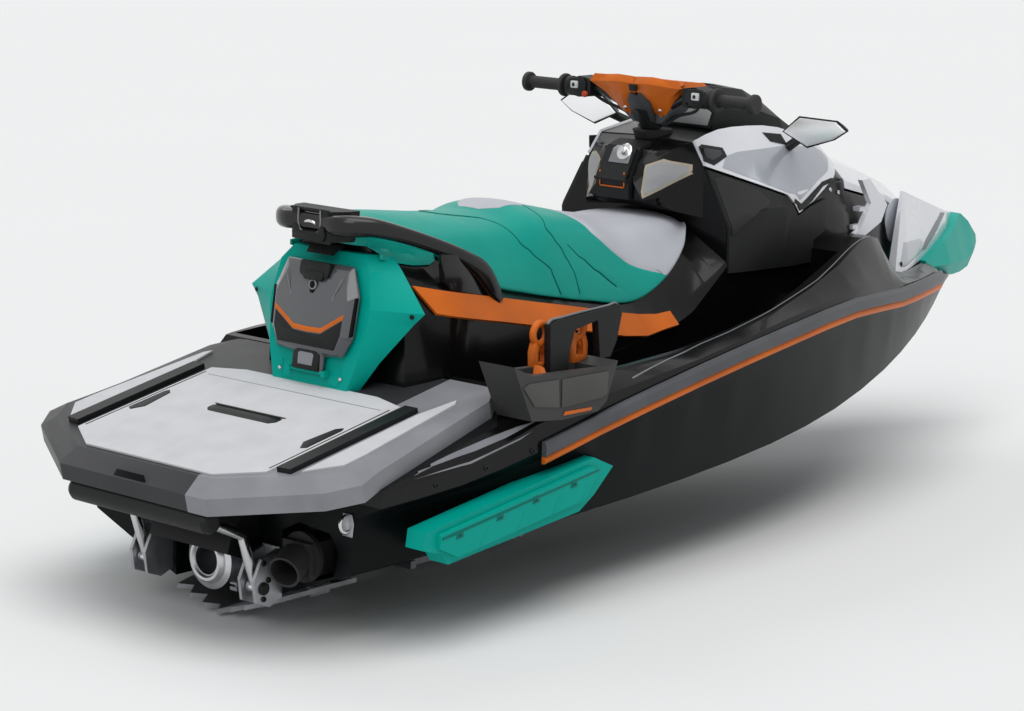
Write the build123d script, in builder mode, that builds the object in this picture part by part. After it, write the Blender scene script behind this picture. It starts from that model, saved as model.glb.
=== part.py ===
"""Three-seat personal watercraft: jet-driven hull, deck, saddle, steering and stern gear.

Millimetres. +X is the bow, +Y port, +Z up. The origin is on the centreline amidships, at the waterline.
"""

import os
from math import atan, cos, hypot, radians, sin, sqrt, tan

from build123d import *

# ---------------------------------------------------------------- driving dimensions
TRANSOM_X = -1500            # flat stern face of the hull and deck mouldings
SKIN = 8                     # moulded wall of the deck
SEAM = 0.3                   # clearance between pieces that only lie against each other
GAP = 6                      # running clearance round moving panels

# x, keel z, chine y, chine z, side top y, side top z, bond y, bond z
HULL = (
    (-1500, -300, 440, -125, 455, 8, 532, 46),
    (-1250, -301, 485, -105, 500, 30, 548, 62),
    (-1000, -302, 520, -92, 540, 70, 566, 104),
    (-800, -300, 535, -84, 562, 112, 580, 150),
    (-400, -285, 535, -66, 572, 182, 588, 220),
    (0, -258, 520, -38, 556, 232, 574, 270),
    (350, -235, 478, -2, 512, 254, 530, 292),
    (700, -175, 400, 48, 430, 234, 446, 270),
    (1000, -112, 305, 100, 334, 226, 350, 262),
    (1250, -50, 205, 150, 226, 212, 240, 245),
    (1450, 40, 108, 185, 124, 200, 135, 222),
    (1560, 150, 42, 200, 48, 206, 54, 216),
)

DECK_SLOPE = tan(radians(11.1))   # the stern deck climbs this much toward the bow
DECK_REF_X, DECK_REF_Z = -1637, 122
RIDGE_SLOPE = 0.232               # the frame's outer ridge climbs more steeply
RIDGE_REF_X, RIDGE_REF_Z = -1776, 65
FRAME_LIP = 43                    # frame edge below its ridge

PUMP_Z = -165                # axis of the jet pump
NOZZLE_HINGE_X = -1440
BUCKET_PIN_X = -1405
STEP_PIN_X, STEP_PIN_Z = -1560, -190
STEER_X, STEER_Z, STEER_RAKE = 85, 790, 28
HOOD_PIN_X, HOOD_PIN_Z = 1366, 388
LID_PIN_X, LID_PIN_Z = -1211, 246
GLOVE_PIN_X, GLOVE_PIN_Z = -63.5, 618.5


def deck_z(x):
    """Height of the sloping stern deck at a station."""
    return DECK_REF_Z + DECK_SLOPE * (x - DECK_REF_X)


def ridge_z(x):
    """Height of the platform frame's outer ridge at a station."""
    return RIDGE_REF_Z + RIDGE_SLOPE * (x - RIDGE_REF_X)


# ---------------------------------------------------------------- helpers
def eased(rows, steps=2):
    """Rows with extra stations between them, on a cubic through the given ones."""
    slopes = []
    for i in range(len(rows)):
        low, high = rows[max(i - 1, 0)], rows[min(i + 1, len(rows) - 1)]
        slopes.append([(b - a) / (high[0] - low[0]) for a, b in zip(low, high)])
    out = []
    for i in range(len(rows) - 1):
        a, b, span = rows[i], rows[i + 1], rows[i + 1][0] - rows[i][0]
        for k in range(steps):
            t = k / steps
            h1, h2 = 2 * t**3 - 3 * t**2 + 1, t**3 - 2 * t**2 + t
            h3, h4 = 3 * t**2 - 2 * t**3, t**3 - t**2
            row = [a[0] + t * span]
            for j in range(1, len(a)):
                row.append(h1 * a[j] + h2 * span * slopes[i][j] + h3 * b[j] + h4 * span * slopes[i + 1][j])
            out.append(tuple(row))
    return out + [rows[-1]]


def row_at(rows, x):
    """Row at any station, straight between neighbouring rows."""
    for low, high in zip(rows, rows[1:]):
        if x <= high[0]:
            break
    share = (x - low[0]) / (high[0] - low[0])
    return tuple(a + share * (b - a) for a, b in zip(low, high))


def station(x):
    """Cross-section plane: local x runs to port, local y runs up."""
    return Plane(origin=(x, 0, 0), x_dir=(0, 1, 0), z_dir=(1, 0, 0))


def side_plane(y):
    """Plane seen from starboard: local x runs to the bow, local y runs up."""
    return Plane(origin=(0, y, 0), x_dir=(1, 0, 0), z_dir=(0, -1, 0))


def ring(half):
    """Port half outline, keel to crown, closed by its mirror image."""
    return half + [(-y, z) for y, z in reversed(half) if y > 0]


def lofted(rows):
    """Ruled solid through (x, outline points) rows."""
    with BuildPart() as body:
        for x, points in rows:
            with BuildSketch(station(x)):
                with BuildLine():
                    Polyline(*points, close=True)
                make_face()
        loft(ruled=True)
    return body.part


def prism(points, y0, y1):
    """Solid with a side-view outline between two buttock planes."""
    with BuildPart() as body:
        with BuildSketch(side_plane(y1)):
            with BuildLine():
                Polyline(*points, close=True)
            make_face()
        extrude(amount=y1 - y0)
    return body.part


def front_prism(points, x0, x1):
    """Solid with a front-view outline between two stations."""
    with BuildPart() as body:
        with BuildSketch(station(x0)):
            with BuildLine():
                Polyline(*points, close=True)
            make_face()
        extrude(amount=x1 - x0)
    return body.part


def plan_prism(points, z0, z1):
    """Solid with a plan-view outline between two heights."""
    with BuildPart() as body:
        with BuildSketch(Plane.XY.offset(z0)):
            with BuildLine():
                Polyline(*points, close=True)
            make_face()
        extrude(amount=z1 - z0)
    return body.part


def block(x0, x1, y0, y1, z0, z1):
    with BuildPart() as body:
        with Locations(((x0 + x1) / 2, (y0 + y1) / 2, (z0 + z1) / 2)):
            Box(abs(x1 - x0), abs(y1 - y0), abs(z1 - z0))
    return body.part


def rod(start, end, radius):
    """Round bar between two points."""
    a, b = Vector(*start), Vector(*end)
    with BuildPart() as body:
        with BuildSketch(Plane(origin=a, z_dir=b - a)):
            Circle(radius)
        extrude(amount=(b - a).length)
    return body.part


def turned(points):
    """Ring or spindle about the pump axis, from x and radius pairs."""
    with BuildPart() as body:
        with BuildSketch(Plane(origin=(0, 0, PUMP_Z), x_dir=(1, 0, 0), z_dir=(0, -1, 0))):
            with BuildLine():
                Polyline(*points, close=True)
            make_face()
        revolve(axis=Axis((0, 0, PUMP_Z), (1, 0, 0)))
    return body.part


def both_sides(shape):
    """The shape and its mirror image across the centreline."""
    return [shape, mirror(shape, about=Plane.XZ)]


def fused(shapes):
    with BuildPart() as body:
        for shape in shapes:
            add(shape)
    return body.part


def grown(points, depth):
    """Open outline moved to the right of its direction, with mitred corners."""
    out = []
    for i, (y, z) in enumerate(points):
        normals = []
        for a, b in ((i - 1, i), (i, i + 1)):
            if a >= 0 and b < len(points):
                dy, dz = points[b][0] - points[a][0], points[b][1] - points[a][1]
                normals.append((dz / hypot(dy, dz), -dy / hypot(dy, dz)))
        ny, nz = sum(n[0] for n in normals), sum(n[1] for n in normals)
        scale = depth * len(normals) / (ny**2 + nz**2)
        out.append((y + ny * scale, z + nz * scale))
    return out


def skin(rows, pick, lift, depth):
    """Port panel lying on a form: pick gives its line across each section, foot first."""
    out = []
    for row in rows:
        line = pick(row)
        out.append((row[0], grown(line, lift) + list(reversed(grown(line, lift + depth)))))
    return lofted(out)


def between(rows, x0, x1):
    """Rows from one station to another, with rows made at both ends."""
    inside = [row for row in rows if x0 < row[0] < x1]
    return [row_at(rows, x0)] + inside + [row_at(rows, x1)]


def save(part, name):
    part.label = name
    export_step(part, f"parts/{name}.step")


os.makedirs("parts", exist_ok=True)

# ---------------------------------------------------------------- hull
BAY_HALF, BAY_TOP, BAY_FRONT = 150, 10, -1180     # pump bay in the stern
DUCT_R = 92
HULL_ROWS = eased(HULL)
hull_rows = []
for x, kz, cy, cz, sy, sz, by, bz in HULL_ROWS:
    hull_rows.append((x, ring([(0, kz), (cy, cz), (sy, sz), (by, bz), (0, bz)])))

WELL_REAR, WELL_FRONT, WELL_IN = -1000, 430, 290
WELL_FLOOR_AFT, WELL_FLOOR_FWD = 96, 130


def well_box(grow, top):
    """Footwell space on the port side, grown outward by the deck's wall."""
    z_a, z_f = WELL_FLOOR_AFT - grow, WELL_FLOOR_FWD - grow
    x_a, x_f = WELL_REAR - grow, WELL_FRONT + grow
    outline = [(x_a, z_a), (200, z_f), (x_f, z_f + 190), (x_f, top), (x_a, top)]
    plan = [(x_a, WELL_IN - grow), (x_f, WELL_IN - grow), (x_f, 410 + grow), (0, 498 + grow), (-700, 498 + grow),
            (x_a, 478 + grow)]
    with BuildPart() as space:
        add(prism(outline, 200, 600))
        add(plan_prism(plan, 0, 900), mode=Mode.INTERSECT)
    return space.part


def below_bond(lift):
    """Everything below the line where hull and deck meet."""
    line = [(row[0], row[7] + lift) for row in HULL_ROWS]
    return prism([(line[0][0], -500)] + line + [(line[-1][0], -500)], -700, 700)


def above_bond(x0, x1, lift):
    """Space between the footwells above that line, which the saddle base fills."""
    line = [(row[0], row[7] + lift) for row in between(HULL_ROWS, x0, x1)]
    return prism(line + [(x1, 700), (x0, 700)], -WELL_IN - 2, WELL_IN + 2)


with BuildPart() as port_tub:
    add(well_box(SKIN, 700))
    add(below_bond(4), mode=Mode.INTERSECT)

# the bow bumper and nose shell take the mouldings' place forward of these side outlines
BUMPER_LOW = [(1130, 262), (1340, 232), (1480, 196), (1640, 172), (1900, 150)]
BUMPER_TOP = [(1900, 372), (1615, 372), (1500, 354), (1340, 330), (1130, 298)]

with BuildPart() as hull_shell:
    add(lofted(hull_rows))
    add(block(TRANSOM_X - 10, BAY_FRONT, -BAY_HALF, BAY_HALF, -310, BAY_TOP), mode=Mode.SUBTRACT)
    add(rod((BAY_FRONT - 5, 0, PUMP_Z), (BAY_FRONT + 255, 0, PUMP_Z), DUCT_R), mode=Mode.SUBTRACT)
    add(prism([(-960, -90), (-960, -250), (-900, -330), (-420, -330)], -70, 70), mode=Mode.SUBTRACT)
    add(front_prism([(-215, -60), (-270, -32), (-370, -40), (-400, -80), (-385, -140), (-330, -160), (-225, -150)],
                    TRANSOM_X - 1, TRANSOM_X + 50), mode=Mode.SUBTRACT)
    for tub in both_sides(well_box(SKIN + SEAM, 700)):
        add(tub, mode=Mode.SUBTRACT)
    add(prism(BUMPER_LOW + BUMPER_TOP, -300, 300), mode=Mode.SUBTRACT)

# ---------------------------------------------------------------- deck
# x, side crease y, side crease z, gunwale y, gunwale z
GUNWALE = (
    (-1500, 536, 80, 506, deck_z(-1500)),
    (-1250, 548, 104, 496, deck_z(-1250)),
    (-1000, 562, 170, 490, deck_z(-1000)),
    (-800, 574, 206, 520, 250),
    (-400, 580, 252, 528, 262),
    (0, 562, 304, 522, 318),
    (350, 520, 330, 470, 396),
    (540, 470, 330, 415, 440),
    (660, 445, 312, 385, 428),
    (780, 418, 292, 362, 320),
    (1000, 342, 282, 296, 296),
    (1250, 232, 272, 205, 290),
    (1450, 128, 256, 106, 280),
    (1560, 50, 246, 38, 268),
)
GUNWALE_ROWS = eased(GUNWALE)
deck_rows = []
for x in sorted({row[0] for row in HULL_ROWS + GUNWALE_ROWS}):
    by, bz = row_at(HULL_ROWS, x)[6:]
    _, cy, cz, gy, gz = row_at(GUNWALE_ROWS, x)
    deck_rows.append((x, ring([(0, bz + SEAM), (by, bz + SEAM), (cy, cz), (gy, gz), (0, gz)])))

# saddle: x, half breadth, underside z, shoulder y, shoulder z, top z, trim y, trim z
SADDLE = (
    (-1150, 96, 558, 84, 606, 628, 176, 480),
    (-1010, 158, 534, 130, 586, 620, 252, 449),
    (-900, 196, 500, 146, 566, 608, 252, 427),
    (-800, 214, 436, 150, 556, 597, 252, 408),
    (-660, 224, 400, 152, 550, 590, 252, 380),
    (-560, 232, 380, 166, 560, 607, 252, 361),
    (-440, 237, 358, 168, 540, 585, 252, 337),
    (-255, 240, 334, 158, 500, 548, 256, 301),
    (-120, 234, 372, 150, 500, 530, 268, 296),
    (0, 205, 440, 140, 508, 528, 280, 360),
    (83, 150, 492, 105, 512, 524, 286, 410),
)
SADDLE_ROWS = eased(SADDLE)
SEAT_SPLIT_X = -255
TRIM_DEEP = 58



def trim_low(x, top):
    """Lower edge of the side trim, kept clear of the footwell's inner wall."""
    return max(top - TRIM_DEEP, row_at(HULL_ROWS, x)[7] + 8)


BASE_REAR, BASE_FRONT = -1112, 84 - SEAM
base_rows = []
for x, half, low, _, _, _, ty, tz in between(SADDLE_ROWS, BASE_REAR, BASE_FRONT):
    foot = min(row_at(HULL_ROWS, x)[7], deck_z(x)) - 10
    base_rows.append((x, ring([(0, foot), (ty + 35, foot), (ty + 32, trim_low(x, tz)), (ty, tz),
                               (half - 6, low - SEAM), (0, low - SEAM)])))

# front body: x, foot y, hip y, hip z, edge y, edge z, top y, top z, crown z
FRONT = (
    (84, 287, 285, 500, 205, 648, 158, 722, 728),
    (200, 287, 318, 545, 268, 618, 150, 742, 746),
    (300, 287, 330, 545, 326, 575, 175, 748, 750),
    (400, 300, 325, 552, 318, 580, 205, 740, 740),
    (540, 330, 316, 540, 305, 600, 240, 690, 712),
    (640, 340, 300, 520, 290, 580, 215, 640, 672),
    (800, 325, 278, 480, 262, 540, 170, 600, 635),
    (950, 245, 240, 440, 222, 505, 140, 560, 600),
    (1082, 208, 205, 410, 185, 460, 110, 520, 555),
    (1227, 158, 155, 375, 135, 415, 75, 455, 476),
    (1317, 126, 122, 355, 105, 385, 55, 418, 437),
    (1450, 76, 74, 325, 62, 345, 30, 365, 375),
)
NOSE = (
    (-42, ((0, 567), (94, 567), (60, 613), (58, 628), (0, 628))),
    (4, ((0, 552), (140, 549), (122, 640), (79, 698), (0, 700))),
    (24, ((0, 542), (158, 538), (150, 640), (128, 700), (0, 706))),
    (84.5, ((0, 536), (205, 520), (200, 648), (155, 720), (0, 726))),
)


def front_half(row, wall=0):
    x, fy, hy, hz, ey, ez, ty, tz, cz = row
    foot = row_at(HULL_ROWS, x)[7] + 5
    return [(0, foot), (fy - wall, foot), (hy - wall, hz), (ey - wall, ez - wall / 3), (ty - wall / 2, tz - wall),
            (0, cz - wall)]


FRONT_ROWS = eased(FRONT)
front_form = lofted([(row[0], ring(front_half(row))) for row in FRONT_ROWS])
nose_form = lofted([(x, ring(list(half))) for x, half in NOSE])

HOOD_REAR, HOOD_FRONT, HOOD_WALL = 612, 1380, 10
HOOD_LINE = ((HOOD_REAR, 566), (900, 500), (1227, 396), (HOOD_FRONT, 364))
hood_space = prism([(HOOD_REAR, 900)] + list(HOOD_LINE) + [(HOOD_FRONT, 900)], -430, 430)
hood_gap = prism([(HOOD_REAR - GAP, 900), (HOOD_REAR - GAP, 560), (898, 494), (1225, 388), (1370, 350),
                  (HOOD_FRONT + 24, 346), (HOOD_FRONT + 24, 900)], -430, 430)
BIN = (650, 1010, -150, 150, 330, 900)


def frame_bed(lift):
    """Space over the stern deck moulding that the platform frame fills."""
    x0, x1 = -1900, -1020 + SEAM
    return prism([(x0, ridge_z(x0) - FRAME_LIP - lift), (x1, ridge_z(x1) - FRAME_LIP - lift), (x1, 800), (x0, 800)],
                 -620, 620)


STORAGE = (-1300, -1030, -104, 104, 296, 500)

with BuildPart() as moulding:
    add(lofted(deck_rows))
    add(frame_bed(SEAM), mode=Mode.SUBTRACT)
    for tub in both_sides(port_tub.part):
        add(tub)
    for tub in both_sides(well_box(0, 900)):
        add(tub, mode=Mode.SUBTRACT)
    add(above_bond(-1024, 84, 4), mode=Mode.SUBTRACT)
    add(front_form)
    add(nose_form)
    add(hood_gap, mode=Mode.SUBTRACT)
    add(block(*BIN), mode=Mode.SUBTRACT)
    add(prism(BUMPER_LOW + BUMPER_TOP, -300, 300), mode=Mode.SUBTRACT)
    # hood hinge lug and pin
    add(block(HOOD_PIN_X - 8, HOOD_PIN_X + 8, -18, 18, 336, HOOD_PIN_Z + 8))
    add(rod((HOOD_PIN_X, -45, HOOD_PIN_Z), (HOOD_PIN_X, 45, HOOD_PIN_Z), 5))

# the moulding is split where the hood begins
BOW_JOIN = HOOD_REAR - GAP
with BuildPart() as deck:
    add(moulding.part)
    add(block(BOW_JOIN, 2000, -700, 700, -100, 1000), mode=Mode.SUBTRACT)
with BuildPart() as bow_deck:
    add(moulding.part)
    add(block(BOW_JOIN, 2000, -700, 700, -100, 1000), mode=Mode.INTERSECT)

with BuildPart() as front_hood:
    add(front_form)
    add(hood_space, mode=Mode.INTERSECT)
    add(lofted([(row[0], ring(front_half(row, HOOD_WALL))) for row in between(FRONT_ROWS, 560, 1350)]), mode=Mode.SUBTRACT)
    add(block(HOOD_PIN_X - 20, HOOD_PIN_X + 24, -24, 24, 300, HOOD_PIN_Z + 14), mode=Mode.SUBTRACT)
    add(rod((HOOD_PIN_X, -46, HOOD_PIN_Z), (HOOD_PIN_X, 46, HOOD_PIN_Z), 5 + SEAM), mode=Mode.SUBTRACT)

# ---------------------------------------------------------------- rubbing strakes
def strake(y_in, y_out, low, high):
    """Port strip following the bond line, between two heights and two standoffs."""
    rows = []
    for row in between(HULL_ROWS, -990, 1128):
        y, z = row[6], row[7]
        rows.append((row[0], [(y + y_in, z + low), (y + y_out - 3, z + low), (y + y_out, z + low + 5),
                              (y + y_out, z + high - 9), (y + y_out - 6, z + high), (y + y_in, z + high)]))
    return lofted(rows)


rubbing_strakes = fused(both_sides(strake(SEAM, 15, -14, 22)))
strake_inserts = fused(both_sides(strake(SEAM, 12, -32, -14 - SEAM)))

# ---------------------------------------------------------------- bow
BUMPER = (
    (1131, ((0, 248), (236, 250), (254, 276), (240, 310), (0, 312))),
    (1340, ((0, 220), (172, 222), (200, 262), (172, 345), (0, 347))),
    (1500, ((0, 192), (108, 200), (140, 245), (104, 368), (0, 370))),
    (1615, ((0, 174), (62, 190), (92, 240), (46, 380), (0, 382))),
    (1700, ((0, 174), (36, 196), (56, 245), (30, 340), (0, 348))),
    (1790, ((0, 236), (4, 241), (8, 262), (4, 286), (0, 291))),
)
bumper_band = prism([(x, z + SEAM) for x, z in BUMPER_LOW] + [(x, z - SEAM) for x, z in BUMPER_TOP], -320, 320)
with BuildPart() as bow_bumper:
    add(lofted([(x, ring(list(half))) for x, half in BUMPER]))
    add(bumper_band, mode=Mode.INTERSECT)

# nose shell: x, foot y, foot z, top y, top z
NOSE_SHELL = (
    (820, 338, 298, 302, 545),
    (950, 302, 298, 275, 525),
    (1140, 222, 298, 210, 478),
    (1340, 150, 328, 145, 428),
    (1463, 100, 346, 98, 401),
    (1615, 20, 365, 14, 377),
)
with BuildPart() as nose_panel:
    add(lofted([(x, ring([(0, fz), (fy, fz), (ty, tz), (0, tz)])) for x, fy, fz, ty, tz in NOSE_SHELL]))
    add(lofted([(x, ring([(0, 100), (fy - 14, 100), (ty - 14, 600), (0, 600)]))
                for x, fy, fz, ty, tz in between(NOSE_SHELL, 821, 1425)]), mode=Mode.SUBTRACT)
    add(prism([(800, 290), (832, 290), (950, 540), (950, 600), (800, 600)], -400, 400), mode=Mode.SUBTRACT)
    add(moulding.part, mode=Mode.SUBTRACT)
    add(bow_bumper.part, mode=Mode.SUBTRACT)

# ---------------------------------------------------------------- side and knee panels
def flank(row):
    """Line up the front body's side, from above the footwell to the top edge."""
    x, fy, hy, hz, ey, ez, ty, tz, cz = row
    foot = row_at(HULL_ROWS, x)[7] + 5
    return [(fy + (hy - fy) * 0.3, foot + (hz - foot) * 0.3), (hy, hz), (ey, ez), (ty, tz)]


panel_skin = skin(between(FRONT_ROWS, 86, 604), flank, SEAM * 2, 8)
WHITE_SIDE = [(70, 660), (86, 661), (292, 580), (348, 524), (470, 575), (600, 634), (556, 690), (330, 790), (70, 790)]
KNEE_SIDE = [(80, 380), (80, 654), (288, 574), (344, 516), (400, 536), (480, 552), (478, 460), (434, 440), (430, 378),
             (360, 374)]
with BuildPart() as side_panels:
    add(panel_skin)
    add(prism(WHITE_SIDE, 120, 400), mode=Mode.INTERSECT)
    mirror(about=Plane.XZ)
with BuildPart() as knee_panels:
    add(panel_skin)
    add(prism(KNEE_SIDE, 120, 400), mode=Mode.INTERSECT)
    add(moulding.part, mode=Mode.SUBTRACT)
    mirror(about=Plane.XZ)

with BuildPart() as side_brackets:
    add(prism([(600, 432), (640, 450), (690, 520), (640, 590), (676, 592), (772, 510), (744, 462), (650, 424)], 322, 338))
    add(block(625, 665, 270, 323, 450, 462))
    add(block(655, 690, 270, 323, 498, 510))
    add(moulding.part, mode=Mode.SUBTRACT)
    mirror(about=Plane.XZ)

# ---------------------------------------------------------------- cockpit
with BuildPart() as meter_hood:
    add(lofted([
        (215, ring([(0, 700), (120, 700), (130, 800), (98, 862), (0, 868)])),
        (379, ring([(0, 700), (160, 700), (148, 790), (100, 842), (0, 850)])),
        (480, ring([(0, 680), (185, 680), (160, 760), (95, 800), (0, 810)])),
        (598, ring([(0, 660), (190, 660), (150, 705), (95, 715), (0, 722)])),
    ]))
    add(block(205, 330, -85, 85, 766, 900), mode=Mode.SUBTRACT)
    add(moulding.part, mode=Mode.SUBTRACT)
    add(side_panels.part, mode=Mode.SUBTRACT)

with BuildPart() as instrument_panel:
    add(prism([(250, 766.3), (300, 766.3), (329, 840), (279, 840)], -80, 80))

GLOVE_PIN_R = 2
console_face = [(-54, 566), (-58, 613), (-10, 704), (40, 718), (40, 560)]
with BuildPart() as console:
    add(prism(console_face, -56, 56))
    # hinge ears and pins of the glovebox lid
    for side in (-1, 1):
        add(block(GLOVE_PIN_X - 4, -50, side * 52, side * 56, GLOVE_PIN_Z - 4, GLOVE_PIN_Z + 4))
        add(rod((GLOVE_PIN_X, side * 40, GLOVE_PIN_Z), (GLOVE_PIN_X, side * 54, GLOVE_PIN_Z), GLOVE_PIN_R))
    add(moulding.part, mode=Mode.SUBTRACT)

with BuildPart() as glovebox_lid:
    add(prism([(-60.5, 619), (-66.5, 622), (-20, 702), (-14, 699)], -52 + GLOVE_PIN_R, 52 - GLOVE_PIN_R))
    add(rod((GLOVE_PIN_X, -51, GLOVE_PIN_Z), (GLOVE_PIN_X, 51, GLOVE_PIN_Z), 4.5))
    for side in (-1, 1):
        add(rod((GLOVE_PIN_X, side * 39, GLOVE_PIN_Z), (GLOVE_PIN_X, side * 60, GLOVE_PIN_Z), GLOVE_PIN_R + SEAM),
            mode=Mode.SUBTRACT)

# ---------------------------------------------------------------- steering
rake = radians(STEER_RAKE)
steer_axis = Vector(-sin(rake), 0, cos(rake))
steer_base = Vector(STEER_X, 0, STEER_Z)


def along_column(distance):
    p = steer_base + steer_axis * distance
    return (p.X, p.Y, p.Z)


COLUMN_R = 30
with BuildPart() as column_collar:
    add(rod(along_column(-90), along_column(-30), 52))
    add(rod(along_column(-50 - SEAM), along_column(-20), COLUMN_R + SEAM), mode=Mode.SUBTRACT)
    add(block(0, 200, -60, 60, 742, 800), mode=Mode.SUBTRACT)
    add(moulding.part, mode=Mode.SUBTRACT)
with BuildPart() as steering_column:
    add(rod(along_column(-50), along_column(20), COLUMN_R))

BAR_R, GRIP_R = 11, 17
GRIP_IN, GRIP_OUT = 249, 391


def grip_point(y):
    """Point of the bar's outer run at a port distance."""
    share = (y - 150) / (GRIP_OUT - 150)
    return (62 - 16 * share, y, 843 + 2 * share)


with BuildPart() as handlebar:
    add(rod(grip_point(150), grip_point(GRIP_OUT - 4), BAR_R))
    add(rod((85, 60, 800), grip_point(150), BAR_R))
    with Locations(grip_point(150), (85, 60, 800)):
        Sphere(BAR_R)
    mirror(about=Plane.XZ)
    add(rod((85, -60, 800), (85, 60, 800), BAR_R))
    add(steering_column.part, mode=Mode.SUBTRACT)

with BuildPart() as handle_grips:
    add(rod(grip_point(GRIP_IN), grip_point(GRIP_OUT), GRIP_R))
    add(rod(grip_point(GRIP_OUT - 8), grip_point(GRIP_OUT), GRIP_R + 5))
    add(handlebar.part, mode=Mode.SUBTRACT)
    mirror(about=Plane.XZ)

with BuildPart() as switch_pods:
    add(front_prism([(160, 822), (160, 870), (200, 876), (GRIP_IN - 1, 862), (GRIP_IN - 1, 826), (200, 818)], 32, 86))
    add(handlebar.part, mode=Mode.SUBTRACT)
    mirror(about=Plane.XZ)

cover_front = ring([(0, 846), (26, 846), (52, 778), (112, 838), (156, 868), (140, 892), (0, 892)])
with BuildPart() as handle_cover:
    add(prism([(24, 868), (30, 888), (140, 877), (150, 862), (112, 792), (84, 772)], -160, 160))
    add(front_prism(cover_front, 0, 160), mode=Mode.INTERSECT)
    add(steering_column.part, mode=Mode.SUBTRACT)
    add(handlebar.part, mode=Mode.SUBTRACT)
    add(switch_pods.part, mode=Mode.SUBTRACT)
with BuildPart() as handle_underside:
    add(prism([(58, 846), (150, 858), (146, 780), (122, 752), (86, 762)], -130, 130))
    add(front_prism(ring([(0, 748), (34, 748), (92, 800), (128, 850), (120, 870), (0, 870)]), 0, 160), mode=Mode.INTERSECT)
    add(steering_column.part, mode=Mode.SUBTRACT)
    add(handlebar.part, mode=Mode.SUBTRACT)
    add(handle_cover.part, mode=Mode.SUBTRACT)
    add(switch_pods.part, mode=Mode.SUBTRACT)

# ---------------------------------------------------------------- mirrors
MIRROR_HEX = [(288, 746), (343, 793), (470, 791), (506, 766), (463, 738), (373, 708)]
with BuildPart() as mirror_housings:
    with BuildSketch(station(316)):
        with BuildLine():
            Polyline(*MIRROR_HEX, close=True)
        make_face()
    extrude(amount=36, taper=22)
    add(rod((410, 240, 690), (345, 345, 742), 13))
    add(moulding.part, mode=Mode.SUBTRACT)
    add(side_panels.part, mode=Mode.SUBTRACT)
    add(meter_hood.part, mode=Mode.SUBTRACT)
    mirror(about=Plane.XZ)
mirror_housings = fused(mirror_housings.part.solids().sort_by(SortBy.VOLUME)[-2:])
with BuildPart() as mirror_glasses:
    with BuildSketch(station(316 - SEAM)):
        with BuildLine():
            Polyline(*[(398 + (y - 398) * 0.93, 755 + (z - 755) * 0.88) for y, z in MIRROR_HEX], close=True)
        make_face()
    extrude(amount=-3)
    mirror(about=Plane.XZ)

# ---------------------------------------------------------------- seats
def cushion(rows):
    return lofted([(r[0], ring([(0, r[2]), (r[1], r[2]), (r[3], r[4]), (0, r[5])])) for r in rows])


rear_seat = cushion(between(SADDLE_ROWS, -1150, SEAT_SPLIT_X - SEAM))
front_seat = cushion(between(SADDLE_ROWS, SEAT_SPLIT_X, 83))

trim_rows = between(SADDLE_ROWS, -1085, -136)
with BuildPart() as side_trims:
    add(skin(trim_rows, lambda r: [(r[6] + 32, trim_low(r[0], r[7])), (r[6], r[7])], SEAM, 9))
    add(prism([(-1200, 380), (-1200, 520), (-1082, 470), (-1040, 392), (-1040, 380)], 0, 400), mode=Mode.SUBTRACT)
    mirror(about=Plane.XZ)

# ---------------------------------------------------------------- stern platform
def slope_plane(x, z, slope):
    """Plane climbing toward the bow, seen from above."""
    run = sqrt(1 + slope**2)
    return Plane(origin=(x, 0, z), x_dir=(1 / run, 0, slope / run), z_dir=(-slope / run, 0, 1 / run))


def on_slope(points, x0, slope):
    """Plan positions as local points of a sloping plane."""
    return [((x - x0) * sqrt(1 + slope**2), y) for x, y in points]


DECK_PLANE = slope_plane(DECK_REF_X, DECK_REF_Z, DECK_SLOPE)
RIDGE_PLANE = slope_plane(RIDGE_REF_X, RIDGE_REF_Z, RIDGE_SLOPE)


def deck_sheet(points, low, high):
    """Plan outline as a layer between two heights off the stern deck."""
    with BuildPart() as sheet:
        with BuildSketch(DECK_PLANE.offset(low)):
            with BuildLine():
                Polyline(*on_slope(points, DECK_REF_X, DECK_SLOPE), close=True)
            make_face()
        extrude(amount=high - low)
    return sheet.part




def mirrored_ring(points):
    return points + [(x, -y) for x, y in reversed(points)]


RIDGE_EDGE = [(-1776, 249), (-1638, 485), (-1567, 537), (-1498, 520), (-1085, 480), (-1020, 440)]
FRAME_EDGE = [(-1735, 232), (-1612, 445), (-1552, 490), (-1490, 482), (-1085, 444), (-1024, 408)]
with BuildPart() as platform_frame:
    with BuildSketch(RIDGE_PLANE) as ridge_face:
        with BuildLine():
            Polyline(*on_slope(mirrored_ring(RIDGE_EDGE), RIDGE_REF_X, RIDGE_SLOPE), close=True)
        make_face()
    with BuildSketch(DECK_PLANE) as top_face:
        with BuildLine():
            Polyline(*on_slope(mirrored_ring(FRAME_EDGE), DECK_REF_X, DECK_SLOPE), close=True)
        make_face()
    loft(ruled=True)
    extrude(ridge_face.sketch, amount=-FRAME_LIP / sqrt(1 + RIDGE_SLOPE**2))
    add(frame_bed(0), mode=Mode.INTERSECT)

PAD = 5
CENTRE_PAD = [(-1723, 216), (-1655, 325), (-1222, 325), (-1196, 225), (-1196, 200)]
SIDE_PAD = [(-1618, 398), (-1240, 398), (-1130, 420), (-1150, 434), (-1480, 462), (-1548, 462)]
with BuildPart() as deck_pads:
    add(deck_sheet(mirrored_ring(CENTRE_PAD), SEAM, PAD))
    for pad in both_sides(deck_sheet(SIDE_PAD, SEAM, PAD)):
        add(pad)
with BuildPart() as deck_rails:
    for rail in both_sides(deck_sheet([(-1640, 342), (-1636, 382), (-1226, 386), (-1226, 346)], SEAM, 14)):
        add(rail)

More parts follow.
